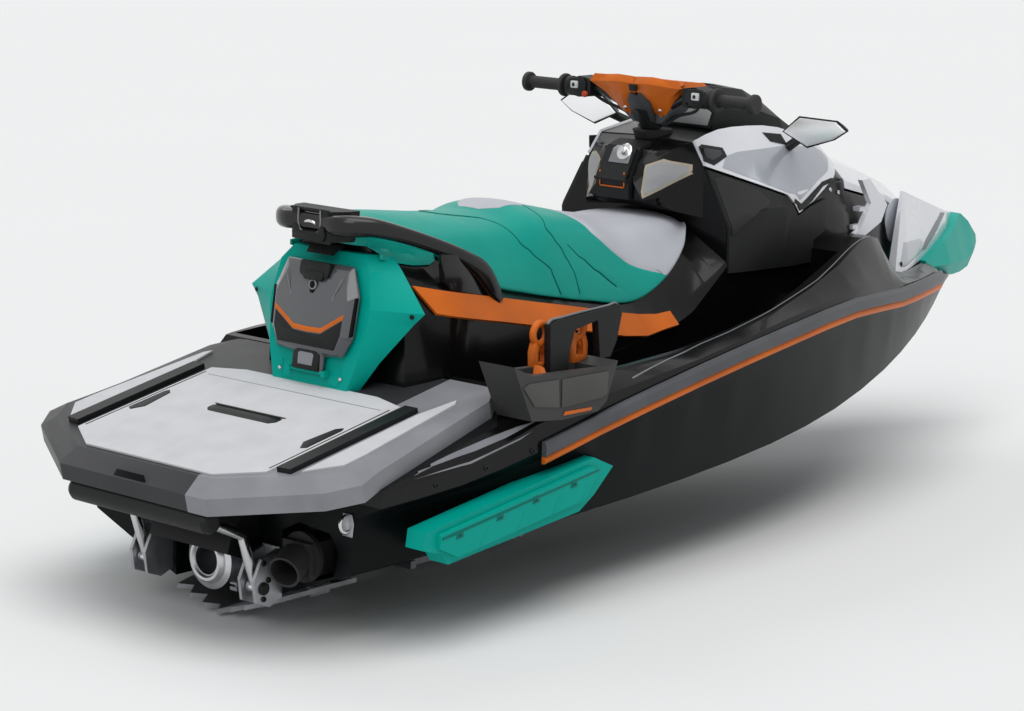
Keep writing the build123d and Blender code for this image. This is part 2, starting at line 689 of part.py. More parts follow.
# ---------------------------------------------------------------- rear cowl, storage lid, tow hook, grab rail
# z, then x and y of the rear corner, the wing and the front edge
COWL_LEAN = 0.1774
COWL_FOOT_X, COWL_FOOT_Z = -1207, 190


def cowl_face_x(z):
    """Station of the cowl's flat rear face at a height."""
    return COWL_FOOT_X + COWL_LEAN * (z - COWL_FOOT_Z)


COWL = (
    (COWL_FOOT_Z, cowl_face_x(COWL_FOOT_Z), 118, -1178, 126),
    (285, cowl_face_x(285), 150, -1152, 188),
    (385, cowl_face_x(385), 168, -1118, 268),
    (412, cowl_face_x(412), 168, -1112, 296),
    (500, cowl_face_x(500), 150, -1085, 195),
    (536, -1134, 122, -1076, 150),
)


def cowl_form(spread):
    """Angular cowl tapering to a wing on each side, grown by a clearance."""
    with BuildPart() as form:
        for z, xa, ya, xb, yb in COWL:
            with BuildSketch(Plane.XY.offset(z)):
                with BuildLine():
                    Polyline(*mirrored_ring([(xa, ya + spread), (xb, yb + 2 * spread), (xb + spread, yb + spread)]),
                             close=True)
                make_face()
        loft(ruled=True)
    return form.part


def over_deck(lift):
    """Everything below the stern deck, raised by a clearance."""
    return prism([(-1400, deck_z(-1400) + lift), (-900, deck_z(-900) + lift), (-900, 0), (-1400, 0)], -400, 400)


LID_ARM = 52                 # half breadth of the lid's hinge tongue
LID_EAR = LID_ARM + 2
with BuildPart() as rear_cowl:
    add(cowl_form(0.5))
    add(over_deck(SEAM), mode=Mode.SUBTRACT)
    add(block(*STORAGE), mode=Mode.SUBTRACT)
    # trunnions of the storage lid
    for side in (-1, 1):
        add(block(LID_PIN_X - 7, cowl_face_x(LID_PIN_Z) + 20, side * LID_EAR, side * (LID_EAR + 12), LID_PIN_Z - 7,
                  LID_PIN_Z + 7))
    add(rod((LID_PIN_X, -LID_EAR - 10, LID_PIN_Z), (LID_PIN_X, LID_EAR + 10, LID_PIN_Z), 3.5))
    add(deck_pads.part, mode=Mode.SUBTRACT)

with BuildPart() as seat_base:
    add(lofted(base_rows))
    add(above_bond(-1010, 84, 4 + SEAM) + block(-1300, -1010, -320, 320, 150, 700), mode=Mode.INTERSECT)
    add(over_deck(SEAM) - block(-1010 + SEAM, -800, -400, 400, 0, 400), mode=Mode.SUBTRACT)
    add(cowl_form(2), mode=Mode.SUBTRACT)
    add(block(*STORAGE), mode=Mode.SUBTRACT)
seat_base = fused(seat_base.part.solids().sort_by(SortBy.VOLUME)[-1:])

LID_PLANE = Plane(origin=(cowl_face_x(LID_PIN_Z - 10) - 1, 0, LID_PIN_Z - 10), x_dir=(0, -1, 0),
                  z_dir=(-cos(atan(COWL_LEAN)), 0, sin(atan(COWL_LEAN))))
LID_HALF = [(LID_ARM, 6), (LID_ARM, 52), (112, 58), (138, 106), (142, 207), (112, 276)]
with BuildPart() as rear_lid:
    with BuildSketch(LID_PLANE):
        with BuildLine():
            Polyline(*[(-y, v) for y, v in LID_HALF], *reversed(LID_HALF), close=True)
        make_face()
    extrude(amount=12)
    add(rod((LID_PIN_X, -LID_ARM, LID_PIN_Z), (LID_PIN_X, LID_ARM, LID_PIN_Z), 8))
    add(rod((LID_PIN_X, -90, LID_PIN_Z), (LID_PIN_X, 90, LID_PIN_Z), 3.5 + SEAM), mode=Mode.SUBTRACT)
    add(rear_cowl.part, mode=Mode.SUBTRACT)
with BuildPart() as lid_latch:
    add(prism([(-1163, 527), (-1146, 538.4 + SEAM), (-1126, 538.4 + SEAM), (-1126, 552), (-1160, 552), (-1176, 530)],
              -40, 40))
    add(rear_cowl.part, mode=Mode.SUBTRACT)

# x, y, low z, high z and half breadth of the grab rail
RAIL = (
    (-1168, 108, 596, 628, 16),
    (-1130, 146, 590, 620, 16),
    (-1058, 188, 566, 596, 14),
    (-985, 222, 536, 566, 14),
    (-925, 240, 505, 540, 14),
    (-867, 250, 462, 508, 14),
    (-829, 255, 420, 450, 14),
    (-800, 257, 398, 410, 13),
)
RAIL_FOOT = [(-1000, 545), (-985, 448), (-938, 410), (-800, 392), (-829, 440), (-867, 500), (-960, 548)]
with BuildPart() as grab_rail:
    add(lofted([(x, [(y - r, low), (y + r, low), (y + r, high - 6), (y + r - 8, high), (y - r, high)])
                for x, y, low, high, r in RAIL]))
    add(prism(RAIL_FOOT, 216, 254))
    mirror(about=Plane.XZ)
    add(rear_seat, mode=Mode.SUBTRACT)
    add(seat_base, mode=Mode.SUBTRACT)
    add(side_trims.part, mode=Mode.SUBTRACT)
grab_rail = fused(grab_rail.part.solids().sort_by(SortBy.VOLUME)[-2:])
with BuildPart() as tow_hook:
    add(plan_prism([(-1205, -60), (-1160, -95), (-1130, -95), (-1130, 95), (-1160, 95), (-1205, 60)], 566, 640))
    add(block(-1206, -1180, -36, 36, 590, 641), mode=Mode.SUBTRACT)
    add(block(-1164, -1135, -30, 30, 552.3, 567))
    add(rear_seat, mode=Mode.SUBTRACT)
    add(grab_rail, mode=Mode.SUBTRACT)

# ---------------------------------------------------------------- jet pump
IMPELLER_R, BORE_R = 73, 79
with BuildPart() as pump_housing:
    add(turned([(-1180.3, BORE_R), (-1180.3, 120), (-1192, 120), (-1192, 95), (-1290, 95), (-1300, 104), (-1312, 104),
                (-1318, 94), (-1400, 52), (-1425, 48), (-1425, 40), (-1318, 82), (-1300, BORE_R)]))
    # stator hub with the shaft's tail bearing, and its vanes
    add(turned([(-1240, 14.3), (-1240, 26), (-1290, 26), (-1335, 4), (-1335, 0), (-1264, 0), (-1264, 14.3)]))
    for angle in (45, 135, 225, 315):
        vane = block(-1286, -1252, -2.5, 2.5, PUMP_Z + 24, PUMP_Z + 86)
        add(vane.rotate(Axis((0, 0, PUMP_Z), (1, 0, 0)), angle))
    for side in (-1, 1):
        # bucket pins
        add(block(BUCKET_PIN_X + 22, BUCKET_PIN_X + 42, side * 46, side * 122, PUMP_Z - 10, PUMP_Z + 14))
        add(block(BUCKET_PIN_X - 10, BUCKET_PIN_X + 42, side * 104, side * 122, PUMP_Z - 10, PUMP_Z + 14))
        add(rod((BUCKET_PIN_X, side * 120, PUMP_Z), (BUCKET_PIN_X, side * 139, PUMP_Z), 7))
        # nozzle trunnion arms
        add(block(-1400, -1384, -12, 12, PUMP_Z + side * 48, PUMP_Z + side * 94))
        add(block(NOZZLE_HINGE_X - 12, -1384, -12, 12, PUMP_Z + side * 85, PUMP_Z + side * 94))
        add(rod((NOZZLE_HINGE_X, 0, PUMP_Z + side * 70), (NOZZLE_HINGE_X, 0, PUMP_Z + side * 94), 5))

with BuildPart() as impeller:
    add(turned([(-1234, 0), (-1234, 24), (-1186, 28), (-1170, 14), (-1000, 14), (-1000, 0)]))
    add(rod((-1262, 0, PUMP_Z), (-1233, 0, PUMP_Z), 14))
    for angle in (0, 90, 180, 270):
        with BuildPart(mode=Mode.PRIVATE) as blade:
            base = Plane(origin=(-1210, 0, PUMP_Z), x_dir=(1, 0, 0), z_dir=(0, 0, 1))
            with BuildSketch(base.offset(18)):
                Rectangle(40, 6, rotation=35)
            with BuildSketch(base.offset(IMPELLER_R)):
                Rectangle(48, 4, rotation=62)
            loft()
        add(blade.part.rotate(Axis((0, 0, PUMP_Z), (1, 0, 0)), angle))

with BuildPart() as steering_nozzle:
    add(turned([(-1434, 68), (-1434, 76), (-1450, 74), (-1540, 46), (-1540, 37), (-1452, 64)]))
    for side in (-1, 1):
        add(block(NOZZLE_HINGE_X - 12, NOZZLE_HINGE_X + 12, -12, 12, PUMP_Z + side * 70, PUMP_Z + side * 79))
        add(rod((NOZZLE_HINGE_X, 0, PUMP_Z + side * 60), (NOZZLE_HINGE_X, 0, PUMP_Z + side * 90), 5 + SEAM),
            mode=Mode.SUBTRACT)
    add(block(NOZZLE_HINGE_X - 16, NOZZLE_HINGE_X + 2, -94, -70, PUMP_Z - 6, PUMP_Z + 6))

BUCKET_R = 200


def bucket_point(angle, radius=BUCKET_R):
    """Point of the bucket's side outline at an angle above the pump axis."""
    return (BUCKET_PIN_X - radius * cos(radians(angle)), PUMP_Z + radius * sin(radians(angle)))


with BuildPart() as reverse_bucket:
    crown = [bucket_point(a) for a in (14, 24, 36, 48, 58)]
    under = [bucket_point(a, BUCKET_R - 12) for a in (58, 48, 36, 24, 14)]
    add(prism(crown + under, -128, 128))
    cheek = [(BUCKET_PIN_X + 16, PUMP_Z - 12), (BUCKET_PIN_X + 16, PUMP_Z + 18)] + list(reversed(crown))
    cheek.append((BUCKET_PIN_X - 30, PUMP_Z - 14))
    for low, high in ((127, 135), (-135, -127)):
        add(prism(cheek, low, high))
    add(rod((BUCKET_PIN_X, -150, PUMP_Z), (BUCKET_PIN_X, 150, PUMP_Z), 7 + SEAM), mode=Mode.SUBTRACT)

PLATE_TEETH = [(-1450, 146), (-1515, 130), (-1478, 108), (-1515, 84), (-1478, 62), (-1518, 38), (-1480, 14), (-1518, -12),
               (-1480, -34), (-1518, -58), (-1478, -80), (-1515, -104), (-1478, -126), (-1500, -146)]
with BuildPart() as ride_plate:
    add(lofted([(x, ring([(0, -306), (146, -262), (146, -250), (0, -294)])) for x in (-1530, BAY_FRONT - SEAM)]))
    add(plan_prism([(BAY_FRONT - SEAM, 147), (BAY_FRONT - SEAM, -147)] + list(reversed(PLATE_TEETH)), -320, -240), mode=Mode.INTERSECT)
    for y in (-100, 100):
        add(block(-1300, -1230, y - 5, y + 5, -285, PUMP_Z - 60))
    add(turned([(-1150, 0), (-1150, 120.3), (-1192.3, 120.3), (-1192.3, 104.3), (-1330, 104.3), (-1330, 0)]),
        mode=Mode.SUBTRACT)
with BuildPart() as intake_grate:
    for y in (-48, -16, 16, 48):
        add(block(-900, -480, y - 4, y + 4, -296, -280))
    add(block(-905, -885, -69, 69, -298, -278))
    add(block(-490, -470, -69, 69, -290, -270))
    add(hull_shell.part, mode=Mode.SUBTRACT)

# ---------------------------------------------------------------- transom fittings
EXHAUST_Y, EXHAUST_Z = -292, -108
with BuildPart() as exhaust_outlet:
    add(block(-1530, TRANSOM_X + 50 - SEAM, EXHAUST_Y - 44, EXHAUST_Y + 44, EXHAUST_Z - 40, EXHAUST_Z + 40))
    add(rod((TRANSOM_X - 14, EXHAUST_Y, EXHAUST_Z), (TRANSOM_X - SEAM, EXHAUST_Y, EXHAUST_Z), 60))
    add(rod((-1530, EXHAUST_Y, EXHAUST_Z), (-1586, EXHAUST_Y - 18, EXHAUST_Z - 20), 40))
    add(rod((-1526, EXHAUST_Y, EXHAUST_Z), (-1590, EXHAUST_Y - 19, EXHAUST_Z - 21), 34), mode=Mode.SUBTRACT)
    add(hull_shell.part, mode=Mode.SUBTRACT)

STEP_Y = 188
with BuildPart() as step_brackets:
    for y0, y1 in ((STEP_Y - 28, STEP_Y - 19), (STEP_Y + 19, STEP_Y + 28)):
        add(prism([(TRANSOM_X - SEAM, -100), (-1566, -120), (-1590, -170), (-1582, -222), (-1540, -238),
                   (TRANSOM_X - SEAM, -222)], y0, y1))
    add(block(TRANSOM_X - 10, TRANSOM_X - SEAM, STEP_Y - 28, STEP_Y + 28, -222, -100))
    add(rod((STEP_PIN_X, STEP_Y - 24, STEP_PIN_Z), (STEP_PIN_X, STEP_Y + 24, STEP_PIN_Z), 7))
    mirror(about=Plane.XZ)
with BuildPart() as boarding_step:
    add(rod((STEP_PIN_X, STEP_Y, STEP_PIN_Z), (-1602, STEP_Y, -61), 12))
    with Locations((-1602, STEP_Y, -61)):
        Sphere(12)
    add(rod((-1602, STEP_Y, -61), (-1738, STEP_Y, 3), 12))
    add(rod((STEP_PIN_X, STEP_Y - 16, STEP_PIN_Z), (STEP_PIN_X, STEP_Y + 16, STEP_PIN_Z), 15))
    mirror(about=Plane.XZ)
    add(rod((-1740, -232, 3), (-1740, 232, 3), 18))
    add(rod((STEP_PIN_X, -250, STEP_PIN_Z), (STEP_PIN_X, 250, STEP_PIN_Z), 7 + SEAM), mode=Mode.SUBTRACT)

SPONSON = [(-1408, -15), (-818, 66), (-744, 33), (-815, -27), (-869, -59), (-1333, -103), (-1351, -76), (-1415, -57)]
SPONSON_FACE = [(-1370, -26), (-836, 48), (-806, 32), (-860, -30), (-1310, -88), (-1372, -58)]
with BuildPart() as sponsons:
    add(prism(SPONSON, 528, 586))
    add(prism(SPONSON_FACE, 580, 597))
    add(block(-1350, -1300, 440, 530, -76, -40))
    add(block(-1130, -1080, 470, 530, -46, -12))
    add(hull_shell.part, mode=Mode.SUBTRACT)
    mirror(about=Plane.XZ)

# ---------------------------------------------------------------- board rack, starboard only
RACK_SIDE = [(-1130, 330), (-1062, 192), (-950, 180), (-820, 182), (-788, 202), (-749, 296), (-790, 285), (-1062, 300)]
TRAY_Z = 262
with BuildPart() as rack_base:
    add(prism(RACK_SIDE, -596, -486))
    add(block(-1040, -800, -575, -505, TRAY_Z, 340), mode=Mode.SUBTRACT)
    add(moulding.part, mode=Mode.SUBTRACT)
    add(platform_frame.part, mode=Mode.SUBTRACT)
rack_base = fused(rack_base.part.solids().sort_by(SortBy.VOLUME)[-1:])
with BuildPart() as rack_plate:
    add(prism([(-921, TRAY_Z + SEAM), (-925, 395), (-905, 402), (-666, 415), (-657, 390), (-674, 327), (-697, 290),
               (-802, 290), (-802, TRAY_Z + SEAM)], -530, -510))
    add(prism([(-866, 200), (-850, 330), (-835, 372), (-749, 386), (-737, 296), (-737, 200)], -531, -509),
        mode=Mode.SUBTRACT)
    add(rack_base, mode=Mode.SUBTRACT)
rack_plate = fused(rack_plate.part.solids().sort_by(SortBy.VOLUME)[-1:])
with BuildPart() as rack_pads:
    for x in (-1010, -880):
        add(prism([(x, TRAY_Z + SEAM), (x - 4, 330), (x + 14, 378), (x + 38, 400), (x + 62, 394), (x + 68, 366),
                   (x + 64, TRAY_Z + SEAM)], -562, -538))
        with BuildSketch(side_plane(-530)):
            with Locations((x + 36, 362)):
                Circle(16)
            with Locations((x + 32, 300)):
                SlotOverall(46, 26, rotation=90)
        extrude(amount=40, mode=Mode.SUBTRACT)

with BuildPart() as footwell_mats:
    for mat in both_sides(prism([(-985, 96.8), (195, 130.2), (195, 134), (-985, 101)], WELL_IN + 15, 440)):
        add(mat)
    add(moulding.part, mode=Mode.SUBTRACT)

save(hull_shell.part, "hull_shell")
save(deck.part, "deck")
save(bow_deck.part, "bow_deck")
save(seat_base, "seat_base")
save(front_hood.part, "front_hood")
save(rubbing_strakes, "rubbing_strakes")
save(strake_inserts, "strake_inserts")
save(bow_bumper.part, "bow_bumper")
save(nose_panel.part, "nose_panel")
save(side_panels.part, "side_panels")
save(knee_panels.part, "knee_panels")
save(side_brackets.part, "side_brackets")
save(meter_hood.part, "meter_hood")
save(instrument_panel.part, "instrument_panel")
save(console.part, "console")
save(glovebox_lid.part, "glovebox_lid")
save(steering_column.part, "steering_column")
save(column_collar.part, "column_collar")
save(handlebar.part, "handlebar")
save(handle_grips.part, "handle_grips")
save(switch_pods.part, "switch_pods")
save(handle_cover.part, "handle_cover")
save(handle_underside.part, "handle_underside")
save(mirror_housings, "mirror_housings")
save(mirror_glasses.part, "mirror_glasses")
save(rear_seat, "rear_seat")
save(front_seat, "front_seat")
save(side_trims.part, "side_trims")
save(platform_frame.part, "platform_frame")
save(deck_pads.part, "deck_pads")
save(deck_rails.part, "deck_rails")
save(rear_cowl.part, "rear_cowl")
save(rear_lid.part, "rear_lid")
save(lid_latch.part, "lid_latch")
save(grab_rail, "grab_rail")
save(tow_hook.part, "tow_hook")
save(pump_housing.part, "pump_housing")
save(impeller.part, "impeller")
save(steering_nozzle.part, "steering_nozzle")
save(reverse_bucket.part, "reverse_bucket")
save(ride_plate.part, "ride_plate")
save(intake_grate.part, "intake_grate")
save(exhaust_outlet.part, "exhaust_outlet")
save(step_brackets.part, "step_brackets")
save(boarding_step.part, "boarding_step")
save(sponsons.part, "sponsons")
save(rack_base, "rack_base")
save(rack_plate, "rack_plate")
save(rack_pads.part, "rack_pads")
save(footwell_mats.part, "footwell_mats")
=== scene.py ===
"""Looks of the three-seat personal watercraft: materials, soft parts, small details, light and camera."""
from math import copysign, cos, hypot, pi, radians, sin

import bmesh
import bpy
from mathutils import Matrix, Vector
from mathutils.bvhtree import BVHTree
from mathutils.geometry import delaunay_2d_cdt


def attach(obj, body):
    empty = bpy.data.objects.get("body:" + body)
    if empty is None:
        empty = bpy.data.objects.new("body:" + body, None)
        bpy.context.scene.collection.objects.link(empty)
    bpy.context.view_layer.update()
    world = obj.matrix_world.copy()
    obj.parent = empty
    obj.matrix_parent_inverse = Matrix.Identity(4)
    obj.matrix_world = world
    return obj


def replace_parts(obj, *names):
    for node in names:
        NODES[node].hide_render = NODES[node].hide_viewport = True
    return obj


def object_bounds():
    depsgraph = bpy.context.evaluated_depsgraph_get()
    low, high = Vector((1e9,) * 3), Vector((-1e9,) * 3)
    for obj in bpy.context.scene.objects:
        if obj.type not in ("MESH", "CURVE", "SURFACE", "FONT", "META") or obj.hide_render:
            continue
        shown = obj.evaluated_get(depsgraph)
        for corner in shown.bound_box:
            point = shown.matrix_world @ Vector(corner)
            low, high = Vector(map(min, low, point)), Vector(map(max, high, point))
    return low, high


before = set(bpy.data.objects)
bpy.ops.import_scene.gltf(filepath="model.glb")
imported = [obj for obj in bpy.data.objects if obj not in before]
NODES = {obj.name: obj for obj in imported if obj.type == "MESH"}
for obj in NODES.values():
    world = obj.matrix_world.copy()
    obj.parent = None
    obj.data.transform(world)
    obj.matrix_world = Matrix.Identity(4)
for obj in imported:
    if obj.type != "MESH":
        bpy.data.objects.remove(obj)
cad_box = [list(corner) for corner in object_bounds()]
SIDES = (("left", 1, "port"), ("right", -1, "starboard"))  # name tag, sign of y, view that shows it


# ---- material helpers
class Recipe:
    """A Principled material and the textures that feed it, in object coordinates (metres)."""

    def __init__(self, name, scale=(1, 1, 1), **fixed):
        self.material = bpy.data.materials.new(name)
        self.material.use_nodes = True
        self.tree = self.material.node_tree
        self.tree.nodes.clear()
        out = self.node("ShaderNodeOutputMaterial")
        self.shader = self.node("ShaderNodeBsdfPrincipled", **fixed)
        self.link(self.shader.outputs[0], out.inputs[0])
        place = self.node("ShaderNodeTexCoord")
        mapping = self.node("ShaderNodeMapping", Scale=scale)
        self.link(place.outputs["Object"], mapping.inputs["Vector"])
        self.vector = mapping.outputs["Vector"]

    def node(self, kind, **values):
        """New node with socket values; an underscore stands for a space."""
        node = self.tree.nodes.new(kind)
        for socket, value in values.items():
            node.inputs[socket.replace("_", " ")].default_value = value
        return node

    def link(self, source, target):
        self.tree.links.new(source, target)

    def texture(self, kind, **values):
        node = self.node(kind, **values)
        self.link(self.vector, node.inputs["Vector"])
        return node

    def noise(self, scale, detail=4.0):
        return self.texture("ShaderNodeTexNoise", Scale=scale, Detail=detail, Roughness=0.5).outputs["Fac"]

    def cells(self, scale, feature="F1"):
        node = self.texture("ShaderNodeTexVoronoi", Scale=scale)
        node.feature = feature
        return node.outputs["Distance"]

    def bands(self, scale):
        """Parallel ribs or grooves, stacked along Y."""
        node = self.texture("ShaderNodeTexWave", Scale=scale)
        node.bands_direction = "Y"
        return node.outputs["Fac"]

    def colour(self, factor, low, high, start=0.0, end=1.0):
        """Base colour as a two-colour ramp of a factor."""
        node = self.node("ShaderNodeValToRGB")
        for element, position, tone in zip(node.color_ramp.elements, (start, end), (low, high)):
            element.position = position
            element.color = (*tone, 1)
        self.link(factor, node.inputs[0])
        self.link(node.outputs[0], self.shader.inputs["Base Color"])

    def tones(self, factor, color, share, start=0.0, end=1.0):
        """Base colour from a little darker to a little lighter."""
        low, high = [c * (1 - share) for c in color], [min(c * (1 + share), 1) for c in color]
        self.colour(factor, low, high, start, end)

    def roughness(self, factor, low, high):
        node = self.node("ShaderNodeMapRange", To_Min=low, To_Max=high)
        self.link(factor, node.inputs["Value"])
        self.link(node.outputs[0], self.shader.inputs["Roughness"])

    def bump(self, height, strength, distance, under=None):
        node = self.node("ShaderNodeBump", Strength=strength, Distance=distance)
        self.link(height, node.inputs["Height"])
        if under is not None:
            self.link(under, node.inputs["Normal"])
        self.link(node.outputs[0], self.shader.inputs["Normal"])
        return node.outputs[0]


def gelcoat(name, color, rough=0.22, coat=0.6, specular=0.5):
    """Polished moulding: faint colour mottle and orange peel under a clear coat."""
    mix = Recipe(name, Coat_Weight=coat, Coat_Roughness=0.06, Specular_IOR_Level=specular)
    mix.tones(mix.noise(3.0), color, 0.06)
    mix.roughness(mix.noise(9.0), rough * 0.85, rough * 1.2)
    mix.bump(mix.noise(160.0, 2.0), 0.06, 0.0006)
    return mix.material


def metallic_paint(name, color, metallic, rough):
    """Flaked paint: sparkle from small cells, clear coat on top."""
    mix = Recipe(name, Metallic=metallic, Coat_Weight=0.5, Coat_Roughness=0.05)
    flakes = mix.cells(900.0)
    mix.tones(flakes, color, 0.07, 0.1, 0.8)
    mix.roughness(mix.noise(5.0), rough * 0.85, rough * 1.15)
    mix.bump(flakes, 0.03, 0.0003)
    return mix.material


def moulded(name, color, rough=0.5, grain=420.0, strength=0.22):
    """Textured moulded plastic with a fine pebble grain and rubbed, lighter patches."""
    mix = Recipe(name, Specular_IOR_Level=0.22)
    mix.tones(mix.noise(7.0, 6.0), color, 0.14, 0.3, 0.7)
    mix.roughness(mix.noise(14.0), rough * 0.85, rough * 1.15)
    mix.bump(mix.cells(grain), strength, 0.0008)
    return mix.material


def vinyl(name, color, rough=0.42):
    """Marine vinyl: leather-like cells, soft creases and a faint sheen."""
    mix = Recipe(name, Sheen_Weight=0.04, Specular_IOR_Level=0.22)
    mix.tones(mix.noise(4.0, 5.0), color, 0.08, 0.3, 0.7)
    mix.roughness(mix.noise(30.0), rough * 0.85, rough * 1.2)
    leather = mix.bump(mix.cells(560.0, "DISTANCE_TO_EDGE"), 0.28, 0.0007)
    mix.bump(mix.noise(16.0, 3.0), 0.10, 0.003, leather)
    return mix.material


def cast(name, color, rough=0.42, metallic=1.0):
    """Cast or blasted alloy with a sandy surface."""
    mix = Recipe(name, Metallic=metallic)
    mix.tones(mix.noise(18.0, 6.0), color, 0.16, 0.3, 0.7)
    mix.roughness(mix.noise(40.0), rough * 0.8, rough * 1.25)
    mix.bump(mix.noise(240.0, 3.0), 0.25, 0.0008)
    return mix.material


def polished(name, color, rough=0.16):
    """Polished tube with fine brushing lines."""
    mix = Recipe(name, (40, 400, 40), Metallic=1.0)
    lines = mix.noise(3.0, 2.0)
    mix.tones(lines, color, 0.06)
    mix.roughness(lines, rough * 0.8, rough * 1.4)
    return mix.material


def traction(name, color):
    """Deck foam: fine parallel grooves across the deck and a chalky, slightly soiled surface."""
    mix = Recipe(name, Roughness=0.82)
    mix.tones(mix.noise(12.0, 8.0), color, 0.07, 0.25, 0.75)
    foam = mix.bump(mix.noise(500.0, 3.0), 0.25, 0.0008)
    mix.bump(mix.bands(55.0), 0.12, 0.0008, foam)
    return mix.material


def rubber(name, color, ribs=None):
    """Matt rubber, ribbed along Y when asked."""
    mix = Recipe(name, Roughness=0.68)
    mix.tones(mix.noise(25.0, 5.0), color, 0.2, 0.3, 0.7)
    grain = mix.bump(mix.noise(380.0, 3.0), 0.2, 0.0007)
    if ribs:
        mix.bump(mix.bands(ribs), 0.5, 0.002, grain)
    return mix.material


def mirror_glass(name):
    """Silvered glass, a little hazy."""
    mix = Recipe(name, Metallic=1.0)
    mix.colour(mix.noise(3.0), (0.93, 0.94, 0.95), (0.97, 0.97, 0.98))
    mix.roughness(mix.noise(60.0), 0.38, 0.42)
    return mix.material


def display(name):
    """Dark cover glass over a dim panel."""
    mix = Recipe(name, Roughness=0.08, Coat_Weight=1.0)
    mix.colour(mix.noise(30.0), (0.010, 0.011, 0.013), (0.02, 0.022, 0.026))
    mix.bump(mix.noise(90.0), 0.01, 0.0002)
    return mix.material


TEAL = (0.0, 0.36, 0.29)
SOFT_BLACK = (0.012, 0.012, 0.0125)
GELCOAT = gelcoat("hull_gelcoat", (0.0035, 0.0046, 0.005), 0.3, 0.0, 0.08)
DECKCOAT = gelcoat("deck_gelcoat", (0.0035, 0.0037, 0.004), 0.2, 0.1, 0.16)
BLACK_GLOSS = gelcoat("black_gloss", (0.006, 0.006, 0.0065), 0.22, 0.25, 0.3)
SILVER = metallic_paint("silver_paint", (0.70, 0.71, 0.75), 0.25, 0.28)
TEAL_PAINT = gelcoat("teal_paint", TEAL, 0.42, 0.0, 0.09)
TEAL_DARK = gelcoat("teal_shade", (0.0, 0.16, 0.13), 0.4, 0.0, 0.15)
RACK_PANEL = moulded("rack_panel", (0.075, 0.074, 0.070), 0.5, 600.0, 0.12)
TEAL_VINYL = vinyl("teal_vinyl", (0.0, 0.33, 0.265))
WHITE_VINYL = vinyl("white_vinyl", (0.50, 0.51, 0.56), 0.5)
ORANGE = moulded("orange_plastic", (0.62, 0.135, 0.012), 0.42, 500.0, 0.1)
DARK = moulded("dark_plastic", (0.0085, 0.009, 0.0095), 0.46)
KNEE = moulded("knee_plastic", (0.016, 0.0163, 0.0165), 0.5, 260.0, 0.3)
GREY = moulded("grey_plastic", (0.085, 0.088, 0.095), 0.42, 600.0, 0.12)
# Pale grey: the own colour of small fittings, and also painted light: the stern frame's lit side and
# highlights on creases and folds.
GREY_AND_PAINTED_LIGHT = moulded("grey_parts_and_painted_light", (0.235, 0.24, 0.26), 0.4, 700.0, 0.1)
FRAME_DARK = moulded("frame_dark", (0.028, 0.029, 0.031), 0.42, 700.0, 0.1)
RACK_GREY = moulded("rack_grey", (0.045, 0.045, 0.044), 0.45, 600.0, 0.12)
PAD_FOAM = traction("pad_foam", (0.60, 0.60, 0.62))
KNEE_PAD = moulded("knee_pad", (0.0235, 0.0238, 0.0238), 0.55, 200.0, 0.35)
GREY_DARK = moulded("grey_dark", (0.05, 0.053, 0.057), 0.45, 500.0, 0.12)
WHITE_PLASTIC = moulded("white_plastic", (0.66, 0.67, 0.68), 0.4, 500.0, 0.05)
RED_BUTTON = moulded("red_button", (0.5, 0.06, 0.02), 0.35, 500.0, 0.05)
# Mid grey for thin lines along edges; on the black deck and the rack plate these lines are painted
# highlights.
EDGE_GREY = moulded("edge_grey", (0.2, 0.205, 0.22), 0.35, 500.0, 0.05)
LABEL_GREY = moulded("label_grey", (0.33, 0.335, 0.34), 0.5, 500.0, 0.05)
LABEL_EDGE = moulded("label_edge", (0.42, 0.36, 0.27), 0.5, 500.0, 0.05)
# Darker copy of the silver paint: painted shade on silver faces turned away from the light.
SILVER_SHADED = metallic_paint("silver_painted_shade", (0.38, 0.40, 0.44), 0.2, 0.3)
ALLOY_LIGHT = cast("alloy_light", (0.56, 0.57, 0.59), 0.3)
STEEL_DARK = cast("steel_dark", (0.22, 0.225, 0.24), 0.35)
RUBBER = rubber("rubber", SOFT_BLACK)
GRIP = rubber("grip_rubber", SOFT_BLACK, 34.0)
ALLOY = cast("cast_alloy", (0.40, 0.41, 0.43))
STEEL = polished("stainless", (0.62, 0.62, 0.63))
BLACK_STEEL = cast("black_steel", (0.03, 0.03, 0.032), 0.4, 0.6)
MIRROR = mirror_glass("mirror_glass")
SMOKED = gelcoat("smoked_plastic", (0.082, 0.086, 0.094), 0.16, 0.6, 0.4)
SCREEN = display("screen")

FINISHES = (
    (GELCOAT, "hull_shell"), (DECKCOAT, "deck bow_deck seat_base"), (BLACK_STEEL, "handlebar"),
    (SILVER, "front_hood nose_panel side_panels side_brackets"),
    (TEAL_PAINT, "bow_bumper rear_cowl sponsons"),
    (GREY, "rubbing_strakes handle_underside"), (ORANGE, "strake_inserts handle_cover side_trims rack_pads"),
    (DARK, "meter_hood console glovebox_lid steering_column switch_pods mirror_housings deck_rails lid_latch"
           " grab_rail tow_hook reverse_bucket rack_plate"),
    (ALLOY, "pump_housing steering_nozzle ride_plate intake_grate step_brackets"), (KNEE, "knee_panels"),
    (RUBBER, "column_collar exhaust_outlet footwell_mats"), (GRIP, "handle_grips"),
    (SCREEN, "instrument_panel"),
    (MIRROR, "mirror_glasses"), (TEAL_VINYL, "rear_seat"), (WHITE_VINYL, "front_seat"), (SMOKED, "rear_lid"),
    (FRAME_DARK, "platform_frame"), (PAD_FOAM, "deck_pads"), (STEEL, "impeller boarding_step"),
    (RACK_GREY, "rack_base"),
)
for material, nodes in FINISHES:
    for node in nodes.split():
        NODES[node].data.materials.clear()
        NODES[node].data.materials.append(material)


